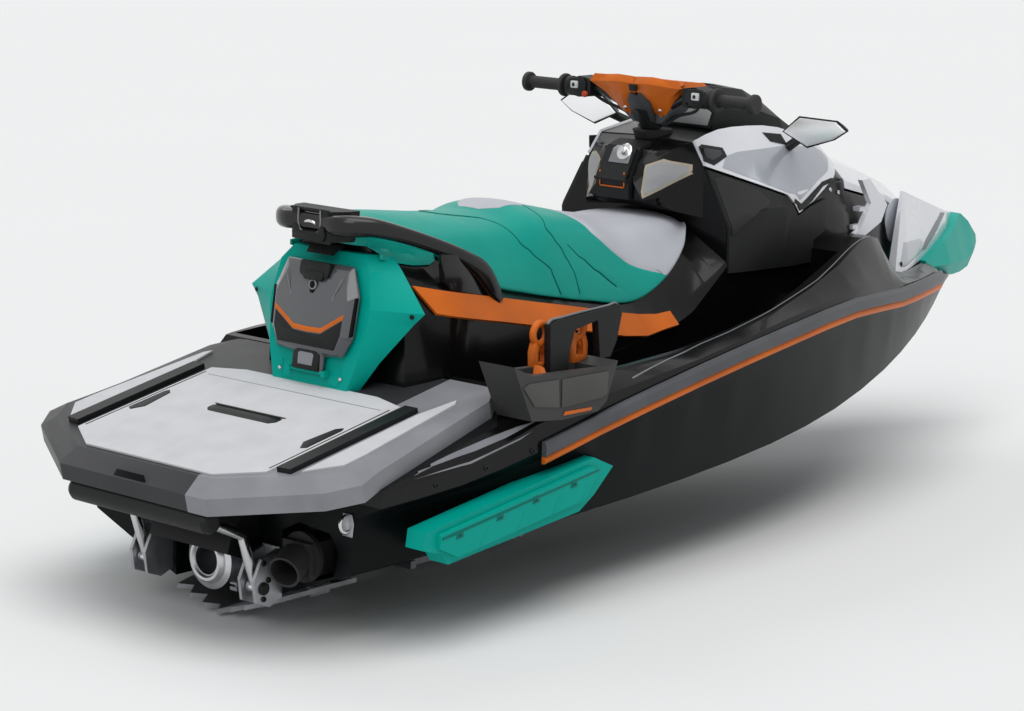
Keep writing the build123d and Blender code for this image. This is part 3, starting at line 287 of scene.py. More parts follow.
# ---- shading of the rigid parts
def smoothing_group(limit):
    """Geometry nodes that join split vertices for shading and keep edges over an angle sharp."""
    group = bpy.data.node_groups.new("smooth_by_angle", "GeometryNodeTree")
    for way in ("INPUT", "OUTPUT"):
        group.interface.new_socket("Geometry", in_out=way, socket_type="NodeSocketGeometry")
    start, end, merge, faces, edges, angle, over = [group.nodes.new(kind) for kind in (
        "NodeGroupInput", "NodeGroupOutput", "GeometryNodeMergeByDistance", "GeometryNodeSetShadeSmooth",
        "GeometryNodeSetShadeSmooth", "GeometryNodeInputMeshEdgeAngle", "FunctionNodeCompare")]
    merge.inputs["Distance"].default_value = 0.00005
    edges.domain = "EDGE"
    edges.inputs["Shade Smooth"].default_value = False
    over.data_type = "FLOAT"
    over.operation = "GREATER_THAN"
    over.inputs[1].default_value = radians(limit)
    for source, target in ((start.outputs[0], merge.inputs[0]), (merge.outputs[0], faces.inputs["Geometry"]),
                           (faces.outputs[0], edges.inputs["Geometry"]),
                           (angle.outputs["Unsigned Angle"], over.inputs[0]),
                           (over.outputs[0], edges.inputs["Selection"]), (edges.outputs[0], end.inputs[0])):
        group.links.new(source, target)
    return group


SMOOTH = smoothing_group(24)


def smooth(obj):
    obj.modifiers.new("smooth_by_angle", "NODES").node_group = SMOOTH
    return obj


for obj in NODES.values():
    smooth(obj)

# ---- piece builders, in millimetres
MM = 0.001  # metres
JOIN = 0.00003  # points nearer than this, in metres, become one


def placed(name, data):
    """New object in the scene."""
    obj = bpy.data.objects.new(name, data)
    bpy.context.scene.collection.objects.link(obj)
    return obj


def mesh_object(name, verts, faces, material, body="hull"):
    """Object from millimetre points that rides on a body."""
    mesh = bpy.data.meshes.new(name)
    mesh.from_pydata([tuple(c / 1000 for c in v) for v in verts], [], faces)
    mesh.update()
    obj = placed(name, mesh)
    obj.data.materials.append(material)
    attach(obj, body)
    return obj


def cleaned(obj, join=False, fill=False):
    """Faces turned outward; doubled points joined and open ends filled when asked."""
    bm = bmesh.new()
    bm.from_mesh(obj.data)
    if join:
        bmesh.ops.remove_doubles(bm, verts=bm.verts, dist=JOIN)
    if fill:
        bmesh.ops.holes_fill(bm, edges=bm.edges, sides=0)
    bmesh.ops.recalc_face_normals(bm, faces=bm.faces)
    bm.to_mesh(obj.data)
    bm.free()
    return obj


def soften(obj, width, angle=35):
    """Rounded edges where faces meet at more than an angle."""
    modifier = obj.modifiers.new("edge", "BEVEL")
    modifier.width = width / 1000
    modifier.segments = 2
    modifier.limit_method = "ANGLE"
    modifier.angle_limit = radians(angle)
    return smooth(obj)


def rings(count, sides, base=0):
    """Quads between rings of points, one ring after another."""
    return [(a + k, a + (k + 1) % sides, a + sides + (k + 1) % sides, a + sides + k)
            for a in (base + i * sides for i in range(count - 1)) for k in range(sides)]


def around(normal, sides):
    """Unit vectors around a direction."""
    a = normal.orthogonal().normalized()
    b = normal.cross(a)
    return [a * cos(2 * pi * k / sides) + b * sin(2 * pi * k / sides) for k in range(sides)]


def tree_of(*objects):
    """Search tree over the faces of objects, in millimetres."""
    verts, faces = [], []
    for obj in objects:
        base = len(verts)
        verts += [v.co * 1000 for v in obj.data.vertices]
        faces += [[base + i for i in p.vertices] for p in obj.data.polygons]
    return BVHTree.FromPolygons(verts, faces)


def surface(nodes):
    return tree_of(*[NODES[node] for node in nodes.split()])


def dense(points, step):
    """Closed outline with points added so that no run is longer than a step."""
    out = []
    for a, b in zip(points, points[1:] + points[:1]):
        count = max(1, int(hypot(b[0] - a[0], b[1] - a[1]) / step + 0.5))
        out += [tuple(p + (q - p) * k / count for p, q in zip(a, b)) for k in range(count)]
    return out


# where a view looks from, for the two numbers of an outline, and along which direction
LOOK = {
    "starboard": (lambda a, b: Vector((a, -900, b)), Vector((0, 1, 0))),
    "port": (lambda a, b: Vector((a, 900, b)), Vector((0, -1, 0))),
    "above": (lambda a, b: Vector((a, b, 1200)), Vector((0, 0, -1))),
    "behind": (lambda a, b: Vector((-2200, a, b)), Vector((1, 0, 0))),
}


def draped(name, outline, tree, look, material, thick=2.0, sink=0.6, step=14, edge=0.7):
    """Thin panel lying on a surface; its outline is given as seen from one side."""
    start, way = LOOK[look]
    rim = dense(outline, step)
    (u_low, v_low), (u_high, v_high) = [[f(p[j] for p in rim) for j in (0, 1)] for f in (min, max)]
    inner = [(u_low + i * step + 0.01, v_low + k * step + 0.01)
             for i in range(1, int((u_high - u_low) / step)) for k in range(1, int((v_high - v_low) / step))]
    points, _, faces = delaunay_2d_cdt([Vector(p) for p in rim + inner], [], [list(range(len(rim)))],
                                       1, 0.001)[:3]
    hits = [tree.ray_cast(start(*p), way)[0] for p in points]
    depths = [hit.dot(way) for hit in hits if hit is not None]
    bm = bmesh.new()
    made = []
    for p, hit in zip(points, hits):
        if hit is None:
            base = start(*p)
            hit = base + way * (sum(depths) / len(depths) - base.dot(way))
        made.append(bm.verts.new(hit + way * sink))
    for face in faces:
        bm.faces.new([made[i] for i in face])
    bm.normal_update()
    for face in bm.faces:
        if face.normal.dot(way) > 0:
            face.normal_flip()
    top = bmesh.ops.extrude_face_region(bm, geom=bm.faces[:])
    for v in [g for g in top["geom"] if isinstance(g, bmesh.types.BMVert)]:
        v.co -= way * (thick + sink)
    bmesh.ops.recalc_face_normals(bm, faces=bm.faces)
    obj = mesh_object(name, [], [], material)
    bm.transform(Matrix.Scale(MM, 4))
    bm.to_mesh(obj.data)
    bm.free()
    return soften(obj, edge, 50)


def slab(name, outline, origin, across, up, thick, material, body="hull", edge=1.2):
    """Bevelled plate with a plane outline, raised from its plane along across x up."""
    a, b = Vector(across).normalized(), Vector(up).normalized()
    low = [Vector(origin) + a * p + b * q for p, q in outline]
    high = [v + a.cross(b) * thick for v in low]
    count = len(outline)
    faces = [tuple(reversed(range(count))), tuple(range(count, 2 * count))] + rings(2, count)
    return soften(cleaned(mesh_object(name, low + high, faces, material, body)), edge)


def aft_plate(name, outline, origin, thick, material, body="hull", edge=1.2, up=(0, 0, 1)):
    """Plate that faces the stern; its outline runs to starboard and up."""
    return slab(name, outline, origin, (0, -1, 0), up, thick, material, body, edge)


def side_plate(name, outline, origin, side, thick, material, edge):
    """Plate that faces outboard; its outline is as seen from there, to the right and up."""
    return slab(name, outline, origin, (-side, 0, 0), (0, 0, 1), thick, material, "hull", edge)


def turned(name, profile, origin, axis, material, body="hull", sides=28):
    """Round piece from (distance along the axis, radius) pairs."""
    n = Vector(axis).normalized()
    verts = [Vector(origin) + n * t + spoke * max(r, 0.01) for t, r in profile for spoke in around(n, sides)]
    obj = mesh_object(name, verts, rings(len(profile), sides), material, body)
    return smooth(cleaned(obj, join=True, fill=True))


def tube(name, points, radius, material, body="hull"):
    """Smooth round tube through points."""
    data = bpy.data.curves.new(name, "CURVE")
    data.dimensions = "3D"
    data.bevel_depth = radius / 1000
    data.bevel_resolution = 4
    data.resolution_u = 8
    data.use_fill_caps = True
    spline = data.splines.new("BEZIER")
    spline.bezier_points.add(len(points) - 1)
    for point, at in zip(spline.bezier_points, points):
        point.co = tuple(c / 1000 for c in at)
        point.handle_left_type = point.handle_right_type = "AUTO"
    obj = placed(name, data)
    data.materials.append(material)
    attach(obj, body)
    return obj


# profile of a socket-head screw: height and radius, as shares of its radius
BOLT = ((0, 0.01), (0, 1.0), (0.35, 1.0), (0.6, 0.86), (0.68, 0.62), (0.68, 0.5), (0.3, 0.44), (0.3, 0.01))
BOLT_SIDES = 12


def bolts(name, places, radius, material, body="hull"):
    """Socket-head screws as one piece; places are (point, normal) pairs."""
    verts, faces = [], []
    for at, normal in places:
        n = Vector(normal).normalized()
        faces += rings(len(BOLT), BOLT_SIDES, len(verts))
        verts += [Vector(at) + n * (t * radius) + spoke * (r * radius)
                  for t, r in BOLT for spoke in around(n, BOLT_SIDES)]
    return smooth(mesh_object(name, verts, faces, material, body))


def side_bolts(name, side, places, radius, material):
    """Screws that face outboard, at (x, distance from the centreline, z)."""
    bolts(name, [((x, side * y, z), (0, side, 0)) for x, y, z in places], radius, material)


def through(a, b, c, d, t):
    """Value at t between b and c, on the smooth curve through four values."""
    return 0.5 * (2 * b + (c - a) * t + (2 * a - 5 * b + 4 * c - d) * t**2 + (3 * b - a - 3 * c + d) * t**3)


def swept(name, stations, material, sides, power, steps=6):
    """Smooth rail through stations of (x, y, z, half breadth, half height), rounded like a moulding."""
    last = len(stations) - 1
    rows = [[through(*four, k / steps) for four in zip(stations[max(i - 1, 0)], stations[i], stations[i + 1],
                                                       stations[min(i + 2, last)])]
            for i in range(last) for k in range(steps)] + [list(stations[-1])]
    verts = []
    for i, (x, y, z, breadth, height) in enumerate(rows):
        after, before = rows[min(i + 1, len(rows) - 1)], rows[max(i - 1, 0)]
        along = Vector([after[j] - before[j] for j in range(3)]).normalized()
        side = along.cross(Vector((0, 0, 1))).normalized()
        top = side.cross(along).normalized()
        for k in range(sides):
            turn = 2 * pi * k / sides
            c, s = [copysign(abs(v) ** (2 / power), v) for v in (cos(turn), sin(turn))]
            verts.append(Vector((x, y, z)) + side * (c * breadth) + top * (s * height))
    faces = rings(len(rows), sides) + [tuple(range(sides))]
    faces.append(tuple(reversed(range((len(rows) - 1) * sides, len(rows) * sides))))
    return smooth(cleaned(mesh_object(name, verts, faces, material)))


def patchwork(name, verts, faces, material, body, edge, angle):
    """Closed faceted piece with softened edges."""
    return soften(cleaned(mesh_object(name, verts, faces, material, body), join=True), edge, angle)


def cladding(name, node, keep, cuts, material, thick):
    """Thin skin over the faces of a CAD node that pass a test on (centre, normal), after plane cuts."""
    bm = bmesh.new()
    bm.from_mesh(NODES[node].data)
    bm.transform(Matrix.Scale(1000, 4))
    bmesh.ops.remove_doubles(bm, verts=bm.verts, dist=0.02)
    for at, normal in cuts:
        bmesh.ops.bisect_plane(bm, geom=bm.verts[:] + bm.edges[:] + bm.faces[:], plane_co=at, plane_no=normal)
    bm.normal_update()
    drop = [f for f in bm.faces if not keep(f.calc_center_median(), f.normal)]
    bmesh.ops.delete(bm, geom=drop, context="FACES")
    bm.normal_update()
    bm.verts.index_update()
    count = len(bm.verts)
    verts = [v.co.copy() for v in bm.verts] + [v.co + v.normal * thick for v in bm.verts]
    faces = [tuple(v.index for v in reversed(f.verts)) for f in bm.faces]
    faces += [tuple(v.index + count for v in f.verts) for f in bm.faces]
    for loop in [edge.link_loops[0] for edge in bm.edges if len(edge.link_faces) == 1]:
        i, j = loop.vert.index, loop.link_loop_next.vert.index
        faces.append((i, j, j + count, i + count))
    bm.free()
    return smooth(mesh_object(name, verts, faces, material))


def both(points):
    """A half outline of (y, v) pairs, and its mirror, as one ring."""
    return points + [(-y, v) for y, v in reversed(points)]


def flip_u(outline, side):
    return [(side * u, v) for u, v in outline]


def flip_v(outline, side):
    return [(u, side * v) for u, v in outline]


def rect(u_low, v_low, u_high, v_high):
    return [(u_low, v_low), (u_low, v_high), (u_high, v_high), (u_high, v_low)]


# ---- seats
# stations of the saddle: x, half breadth, low edge, and the shoulder's y and z, then the crest
SADDLE = (
    (-1150, 96, 558, 84, 606, 628),
    (-1010, 158, 534, 130, 586, 620),
    (-900, 196, 500, 146, 566, 608),
    (-800, 214, 436, 150, 556, 597),
    (-660, 224, 400, 152, 550, 590),
    (-560, 232, 380, 166, 560, 607),
    (-440, 237, 358, 168, 540, 585),
    (-255, 240, 334, 158, 500, 548),
    (-120, 234, 372, 150, 500, 530),
    (0, 205, 440, 140, 508, 528),
    (83, 150, 492, 105, 512, 524),
)
# seams as (x, distance from the centreline, z)
SEAM_FRONT = ((-372, 0, 560), (-340, 79, 540), (-330, 165, 509), (-283, 183, 452), (-214, 203, 410),
              (-129, 224, 382), (-70, 236, 352))
SEAM_BOLSTER = ((-500, 0, 592), (-512, 90, 580), (-536, 170, 544), (-495, 191, 486), (-468, 209, 428),
                (-460, 232, 366))
SEAM_REAR = ((-800, 0, 594), (-781, 36, 588), (-689, 82, 572), (-630, 172, 513), (-558, 206, 448),
             (-530, 231, 372))
SEAM_SIDE = ((-471, 183, 498), (-380, 206, 430), (-288, 224, 368))
CHANNEL_DEPTH, CHANNEL_WIDTH = 5.0, 7.0  # sewn channel
EDGE_DROP, EDGE_REACH = 7.0, 16.0  # rounding at a cushion's two ends
BELL = 2.718  # base of the channel's bell curve
SEAM_SINK = 0.8  # seam lines
UNDERSIDE = 0.5  # least height above the saddle's low edge


def saddle_at(x):
    """Saddle measures at a station, on a smooth curve through the given ones."""
    i = 0
    while i < len(SADDLE) - 2 and x > SADDLE[i + 1][0]:
        i += 1
    a, b = SADDLE[i], SADDLE[i + 1]
    before, after = SADDLE[max(i - 1, 0)], SADDLE[min(i + 2, len(SADDLE) - 1)]
    run = b[0] - a[0]
    t = (x - a[0]) / run
    h1, h2 = 2 * t**3 - 3 * t**2 + 1, t**3 - 2 * t**2 + t
    h3, h4 = 3 * t**2 - 2 * t**3, t**3 - t**2
    out = []
    for j in range(1, 6):
        slope_a = (b[j] - before[j]) / (b[0] - before[0])
        slope_b = (after[j] - a[j]) / (after[0] - a[0])
        out.append(h1 * a[j] + h2 * run * slope_a + h3 * b[j] + h4 * run * slope_b)
    return out


def section_line(x, shares):
    """Points across the saddle at a station, by share of the way from port edge to starboard edge."""
    half, low, sy, sz, top = saddle_at(x)
    knots = [(half - 4, low + 1), (half - 1, low + 12),
             (half + 3 - 0.42 * (half - sy), low + 0.5 * (sz - low)), (sy + 2, sz + 1),
             (sy * 0.55, sz + (top - sz) * 0.78), (0, top)]
    knots += [(-y, z) for y, z in reversed(knots[:-1])]
    last = len(knots) - 1
    out = []
    for share in shares:
        i = min(int(share * last), last - 1)
        four = zip(knots[max(i - 1, 0)], knots[i], knots[i + 1], knots[min(i + 2, last)])
        out.append(tuple(through(*values, share * last - i) for values in four))
    return out


def split_x(y):
    """Where the front cushion meets the rear one, by distance from the centreline."""
    for a, b in zip(SEAM_FRONT, SEAM_FRONT[1:]):
        if abs(y) <= b[1]:
            return a[0] + (b[0] - a[0]) * (abs(y) - a[1]) / (b[1] - a[1])
    return SEAM_FRONT[-1][0]


def seam_distance(p, seam):
    q = Vector((p[0], abs(p[1]), p[2]))
    gaps = []
    for a, b in zip(seam, seam[1:]):
        a, b = Vector(a), Vector(b)
        t = max(0.0, min(1.0, (q - a).dot(b - a) / (b - a).length_squared))
        gaps.append((q - (a + (b - a) * t)).length)
    return min(gaps)


def seat_piece(name, x_low, x_high, seams, material, node, rows, cols=72):
    """Crowned closed cushion over the saddle, with sewn channels pulled into it."""
    verts, faces = [], []
    shares = [k / cols for k in range(cols + 1)]
    guesses = [y for y, _ in section_line((x_low(0) + x_high(0)) / 2, shares)]
    for i in range(rows + 1):
        v = i / rows
        for k, guess in enumerate(guesses):
            long = x_high(guess) - x_low(guess)
            x = x_low(guess) + v * long
            y, z = section_line(x, shares[k:k + 1])[0]
            gaps = [seam_distance((x, y, z), seam) / CHANNEL_WIDTH for seam in seams]
            pull = sum(CHANNEL_DEPTH * BELL ** -(gap ** 2) for gap in gaps)
            shift = pull + EDGE_DROP * max(0.0, 1 - min(v, 1 - v) * long / EDGE_REACH) ** 2
            low = saddle_at(x)[1]
            length = hypot(y, z - low) or 1.0
            guesses[k] = y - y / length * shift
            verts.append((x, guesses[k], max(z - (z - low) / length * shift, low + UNDERSIDE)))
    n = cols + 1
    for a in range(0, rows * n, n):
        faces += [(a + k, a + k + 1, a + n + k + 1, a + n + k) for k in range(cols)]
        faces.append((a + cols, a, a + n, a + n + cols))
    faces += [tuple(range(n)), tuple(reversed(range(rows * n, rows * n + n)))]
    obj = cleaned(mesh_object(name, verts, faces, material))
    obj.data.polygons.foreach_set("use_smooth", [True] * len(obj.data.polygons))
    obj.data.set_sharp_from_angle(angle=radians(50))
    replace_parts(obj, node)
    return obj


rear_cushion = seat_piece("rear_cushion", lambda y: -1149, lambda y: split_x(y) - 1.5,
                          (SEAM_BOLSTER, SEAM_REAR, SEAM_SIDE), TEAL_VINYL, "rear_seat", 110)
front_cushion = seat_piece("front_cushion", lambda y: split_x(y) + 1.5, lambda y: 82, (), WHITE_VINYL,
                           "front_seat", 50)

# ---- rear lid and cowl
LID_X, LID_Z, LID_SLOPE = -1203, 289, 0.179  # a point of the lid's outer face, and its lean in x per z
LID_STRETCH = 1.016  # length along the leaning face per height
LID_RIM = [(52, 242), (52, 287), (112, 293), (138, 340), (142, 440), (112, 508)]
LID_CREST = [(44, 252, 3), (46, 298, 10), (98, 306, 16), (116, 346, 20), (120, 430, 20), (95, 488, 12)]
CHEVRON = [(116, 398), (47, 357), (0, 355), (-47, 357), (-116, 398)]


def lid_point(y, z, lift):
    """Point off the outer face of the rear lid."""
    return (LID_X + LID_SLOPE * (z - LID_Z) - lift, y, z)


def lid_shell():
    """Raised shell of the lid: a back, an upright rim, a sloping border and a flat crown."""
    rim = both(LID_RIM)
    crest = LID_CREST + [(-y, z, lift) for y, z, lift in reversed(LID_CREST)]
    n = len(rim)
    verts = [lid_point(y, z, lift) for lift in (-5, 1.0) for y, z in rim] + [lid_point(*row) for row in crest]
    faces = [tuple(range(n))] + rings(3, n)
    faces += [(2 * n + i, 2 * n + i + 1, 3 * n - 2 - i, 3 * n - 1 - i) for i in range(n // 2 - 1)]
    return patchwork("lid_shell", verts, faces, SMOKED, "storage_lid", 2.0, 12)


def on_lid(name, outline, material, lift, thick, edge=0.6):
    """Plate parallel to the lid's face; its outline is (y, z)."""
    ring = [(-y, (z - LID_Z) * LID_STRETCH) for y, z in outline]
    aft_plate(name, ring, lid_point(0, LID_Z, lift), thick, material, "storage_lid", edge, (LID_SLOPE, 0, 1))


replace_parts(lid_shell(), "rear_lid")
on_lid("lid_stripe", CHEVRON + [(y, z - 12) for y, z in reversed(CHEVRON)], ORANGE, 19.2, 1.6)
on_lid("lid_lower_panel", [
    (114, 383), (46, 342), (0, 340), (-46, 342), (-114, 383), (-113, 346), (-95, 309), (95, 309), (113, 346)
], DARK, 15.5, 4.6)
on_lid("lid_tongue_cover", both([(44, 250), (45, 290), (30, 298)]), DARK, 3, 7.5, 1.5)
on_lid("lid_tongue_plate", both([(24, 262), (26, 288), (20, 292)]), GREY_AND_PAINTED_LIGHT, 9, 3)
on_lid("lid_keyhole", both([(5, 436), (9, 446), (9, 460), (5, 467)]), GELCOAT, 19.4, 1.4)
turned("lid_key_ring", [(0, 13), (1.6, 13), (2.6, 11.5), (2.6, 9.5), (1.0, 9)], lid_point(0, 456, 19.0),
       (-1, 0, LID_SLOPE), GREY_AND_PAINTED_LIGHT, "storage_lid")
on_lid("lid_handle", both([(46, 472), (50, 484), (50, 506), (44, 508)]), DARK, 1, 21, 3)
on_lid("lid_handle_grip", both([(28, 466), (34, 473), (34, 486), (28, 488)]), DARK, 16, 9, 2)
for tag, side, _ in SIDES:
    on_lid("lid_window_" + tag, flip_u([(139, 346), (127, 340), (130, 436), (142, 438)], side), GELCOAT, 1.2,
           6.5, 0.8)
    # pale line along the fold of the lid's bevelled border: a painted highlight
    on_lid("lid_fold_highlight_" + tag, flip_u([(96, 478), (98, 486), (70, 430), (69, 422)], side), GREY_AND_PAINTED_LIGHT,
           19.6, 0.7)
bolts("cowl_screws", [((-1200, y, 238), (-1, 0, 0.18)) for y in (104, -104)], 5, STEEL)
bolts("cowl_wing_screws", [((-1124, y, 403), (-0.9, tilt, 0)) for y, tilt in ((-266, -0.41), (266, 0.41))], 6,
      DARK)
cowl = surface("rear_cowl")
for tag, side, _ in SIDES:
    draped("cowl_foot_line_" + tag, flip_u([
        (62, 218), (96, 218), (100, 232), (100, 262), (97, 262), (97, 234), (93, 221), (62, 221)
    ], side), cowl, "behind", TEAL_PAINT, 1.6, 0.5, 10)

# ---- grab rail and tow hook
# stations of the rail's port half, from the stern forward: x, y, z, half breadth, half height
RAIL_HALF = ((-1190, 0, 610, 15, 22), (-1190, 44, 610, 17, 23), (-1188, 84, 609, 22, 25),
             (-1168, 116, 608, 27, 26), (-1130, 150, 604, 24, 23), (-1058, 188, 581, 20, 20),
             (-985, 222, 552, 18, 19), (-925, 240, 524, 17, 20), (-867, 250, 486, 16, 26),
             (-829, 255, 438, 15, 22), (-806, 257, 406, 13, 12))
rail_way = [*reversed(RAIL_HALF), *((x, -y, z, w, h) for x, y, z, w, h in RAIL_HALF[1:])]
rail_moulding = swept("rail_moulding", rail_way, BLACK_GLOSS, 24, 2.8)
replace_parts(rail_moulding, "grab_rail")
for tag, side, _ in SIDES:
    side_plate("rail_foot_" + tag, flip_u([
        (-1000, 540), (-992, 470), (-962, 428), (-930, 412), (-810, 396), (-824, 432), (-860, 496),
        (-930, 532)
    ], -side), (0, side * 228, 0), side, 24, BLACK_GLOSS, 7)
tube("hook_rim", [
    (-1206, 37, 641), (-1206, 36, 600), (-1206, 30, 589), (-1206, -30, 589), (-1206, -36, 600),
    (-1206, -37, 641)
], 2.2, GREY_AND_PAINTED_LIGHT)
tube("hook_bar", [(-1184, -20, 592), (-1200, -19, 606), (-1206, 0, 612), (-1200, 19, 606), (-1184, 20, 592)],
     4.5, STEEL)
turned("hook_boss", [(0, 14), (10, 14), (14, 10), (14, 5), (8, 4)], (-1182, 0, 616), (-1, 0, 0), BLACK_STEEL)
aft_plate("hook_hood", both([(70, 0), (58, 10), (30, 12)])[::-1], (-1204, 0, 636), 8, DARK, edge=3,
          up=(1, 0, 0))
aft_plate("hook_chin", both([(48, 0), (56, 14), (52, 36), (36, 36), (30, 22)]), (-1205, 0, 566), 6, DARK,
          edge=2)
seat_side = surface("rear_seat seat_base")
for tag, side, look in SIDES:
    draped("seat_side_" + tag, [
        (-1118, 566), (-1118, 528), (-1085, 518), (-1035, 508), (-985, 505), (-960, 512), (-955, 545),
        (-1010, 566)
    ], seat_side, look, TEAL_VINYL, 5, 1.0, 14, 1.5)

# ---- stern platform
# Lighter grey skin on the frame's starboard-facing facets: painted light on the side the light falls on; the
# frame itself is dark.
cladding("frame_painted_lit_side", "platform_frame",
         lambda c, n: c.y < -186 and n.z > -0.3 and (c.y < -300 or c.x < -1640),
         [((0, -186, 0), (0, 1, 0)), ((0, -300, 0), (0, 1, 0)), ((-1640, 0, 0), (1, 0, 0))], GREY_AND_PAINTED_LIGHT, 1.2)
pad_top = surface("deck_pads deck_rails platform_frame")
draped("handle_slot", [
    (-1441, 104), (-1428, 118), (-1408, 118), (-1404, 106), (-1404, -106), (-1408, -118), (-1428, -118),
    (-1441, -104)
], pad_top, "above", GELCOAT, 0.9, 0.6, 20)
draped("handle_slot_rim", [(-1404, 112), (-1399, 122), (-1399, -122), (-1404, -112)], pad_top, "above", DARK,
       2.4, 0.6, 20)
for tag, side, _ in SIDES:
    draped("pad_latch_" + tag, flip_v([
        (-1520, 292), (-1490, 272), (-1398, 284), (-1385, 300), (-1398, 306), (-1512, 306)
    ], side), pad_top, "above", DARK, 1.6)
    draped("pad_seam_" + tag, flip_v([(-1640, 318), (-1250, 318), (-1250, 314), (-1640, 314)], side), pad_top,
           "above", DARK, 0.8, 0.6, 16)
draped("pad_front_seam", [(-1262, 296), (-1262, -296), (-1259, -296), (-1259, 296)], pad_top, "above",
       GREY_AND_PAINTED_LIGHT, 0.5, 0.6, 20)
aft_plate("frame_notch", both([(-58, 0), (-46, 22)]), (-1771, 8, 62), 3, GELCOAT, edge=1, up=(0.2, 0, 1))

skirt = surface("deck")
for tag, side, look in SIDES:
    side_bolts("skirt_screws_" + tag, side, ((-1332, 542, 76), (-1172, 552, 92), (-1022, 563, 110)), 7, DARK)
    # Pale grey streaks along the deck skirt's creases: painted highlights.
    draped("skirt_crease_" + tag, [
        (-1404, 111), (-1312, 121), (-1200, 134), (-1100, 152), (-1000, 178), (-1050, 172), (-1150, 156),
        (-1280, 134)
    ], skirt, look, GREY_AND_PAINTED_LIGHT, 1.4)
    draped("skirt_crease_low_" + tag, [
        (-1395, 99), (-1222, 114), (-1060, 147), (-1020, 158), (-1060, 143), (-1222, 109.5)
    ], skirt, look, GREY_AND_PAINTED_LIGHT, 1.2)

# ---- stern fittings
turned("step_tread", [(0, 4), (0, 16), (4, 24), (14, 29), (466, 29), (476, 24), (480, 16), (480, 4)],
       (-1738, 240, 2), (0, -1, 0), DARK, "boarding_step", 24)
turned("nozzle_ring", [(0, 40), (0, 72), (4, 74), (10, 60), (18, 55), (22, 51), (22, 44), (17, 40), (0, 40)],
       (-1524, 0, -165), (-1, 0, 0), ALLOY_LIGHT, "nozzle", 40)
bolts("exhaust_screws", [((-1506, -292 + 50 * cos(w), -108 + 50 * sin(w)), (-1, 0, 0))
                         for w in (radians(80), radians(200), radians(-40))], 7, STEEL)
for tag, side, _ in SIDES:
    places = ((-1560, 216, -130), (-1560, 216, -215), (-1545, 216, -172))
    side_bolts("step_bracket_screws_" + tag, side, places, 7, DARK)
    turned("step_pivot_" + tag, [(0, 6), (0, 15), (5, 15), (8, 12), (8, 4)], (-1560, side * 216, -190),
           (0, side, 0), DARK)
    eye = ((-1499, 424, 12), (-1520, 428, 8), (-1526, 430, -8), (-1518, 432, -22), (-1499, 434, -24))
    tube("tow_eye_" + tag, [(x, side * y, z) for x, y, z in eye], 4.5, STEEL)
    aft_plate("tow_eye_plate_" + tag, both([(-16, -32), (-20, 0), (-14, 22)]),
              (-1500, side * 429, -4), 3, ALLOY, edge=1)

# ---- sponsons
SPONSON_SCREWS = ((-1307, -36), (-1169, -18), (-1042, 1), (-904, 16))
SPONSON_FACE = 597
RIB_LOW, RIB_RISE = -62, 0.11  # middle height of a rib at x = -1300, and its climb per x
for tag, side, _ in SIDES:
    y = side * SPONSON_FACE
    side_bolts("sponson_screws_" + tag, side, [(x, 596.2, z) for x, z in SPONSON_SCREWS], 6, TEAL_DARK)
    # Darker teal pockets round the screws and the darker teal step line: painted shade of the recesses and
    # the groove.
    for i, (x, z) in enumerate(SPONSON_SCREWS):
        side_plate(f"sponson_pocket_{tag}_{i}", [(-13, -9), (-9, 9), (11, 11), (14, -6)], (x, y, z), side,
                   0.8, TEAL_DARK, 0.3)
    side_plate("sponson_step_" + tag, flip_u([(-1366, -32), (-812, 38), (-808, 33), (-1366, -39)], -side),
               (0, y, 0), side, 0.9, TEAL_DARK, 0.3)
    for i, x in enumerate((-1240, -1110, -985, -880)):
        z = RIB_LOW + (x + 1300) * RIB_RISE
        side_plate(f"sponson_rib_{tag}_{i}", flip_u([
            (x - 2, z - 22), (x + 2, z - 22), (x + 36, z + 26), (x + 32, z + 26)
        ], -side), (0, y, 0), side, 0.7, TEAL_PAINT, 0.2)

# ---- board rack
for name, ring, thick, material in (
        ("panel_rear", [(-1056, 226), (-966, 212), (-972, 280), (-1076, 284), (-1096, 276)], 3.5, RACK_PANEL),
        ("panel_front", [(-958, 210), (-806, 214), (-790, 222), (-786, 276), (-958, 279)], 3.5, RACK_PANEL),
        ("low_strip", [(-950, 190), (-848, 188), (-844, 196), (-944, 199)], 2.5, ORANGE)):
    side_plate("rack_" + name, ring, (0, -596, 0), -1, thick, material, 1.5)
slab("rack_end_cap", [(-594, 296), (-560, 332), (-540, 332), (-552, 262), (-590, 256)], (-1112, 0, 0),
     (0, 1, 0), (0.44, 0, 1), -18, ORANGE, "hull", 3)
turned("rack_fitting", [(0, 10), (0, 26), (14, 26), (22, 20), (24, 8), (24, 1)], (-880, -566, 262), (0, 0, 1),
       STEEL, sides=32)

# ---- handlebar
# half of the cover, a raised bow over a tapering skirt: points (x, distance from the centreline, z) and faces
COVER_POINTS = ((22, 0, 870), (17, 52, 874), (22, 126, 868), (34, 158, 876), (30, 8, 891), (28, 60, 893),
                (34, 128, 887), (44, 158, 884), (30, 0, 852), (34, 50, 838), (44, 120, 842), (58, 150, 862),
                (74, 34, 788), (76, 70, 784), (60, 0, 866), (62, 60, 884), (66, 140, 872), (92, 50, 800))
COVER_FACES = [(0, 1, 5, 4), (1, 2, 6, 5), (2, 3, 7, 6), (0, 8, 9, 1), (1, 9, 10, 2), (2, 10, 11, 3),
               (8, 12, 9), (9, 12, 13), (9, 13, 10), (10, 13, 11), (4, 5, 15, 14), (5, 6, 16, 15),
               (6, 7, 16), (7, 3, 11, 16), (14, 15, 17), (15, 16, 17), (16, 11, 13, 17), (17, 13, 12),
               (14, 17, 12, 8), (0, 4, 14, 8)]
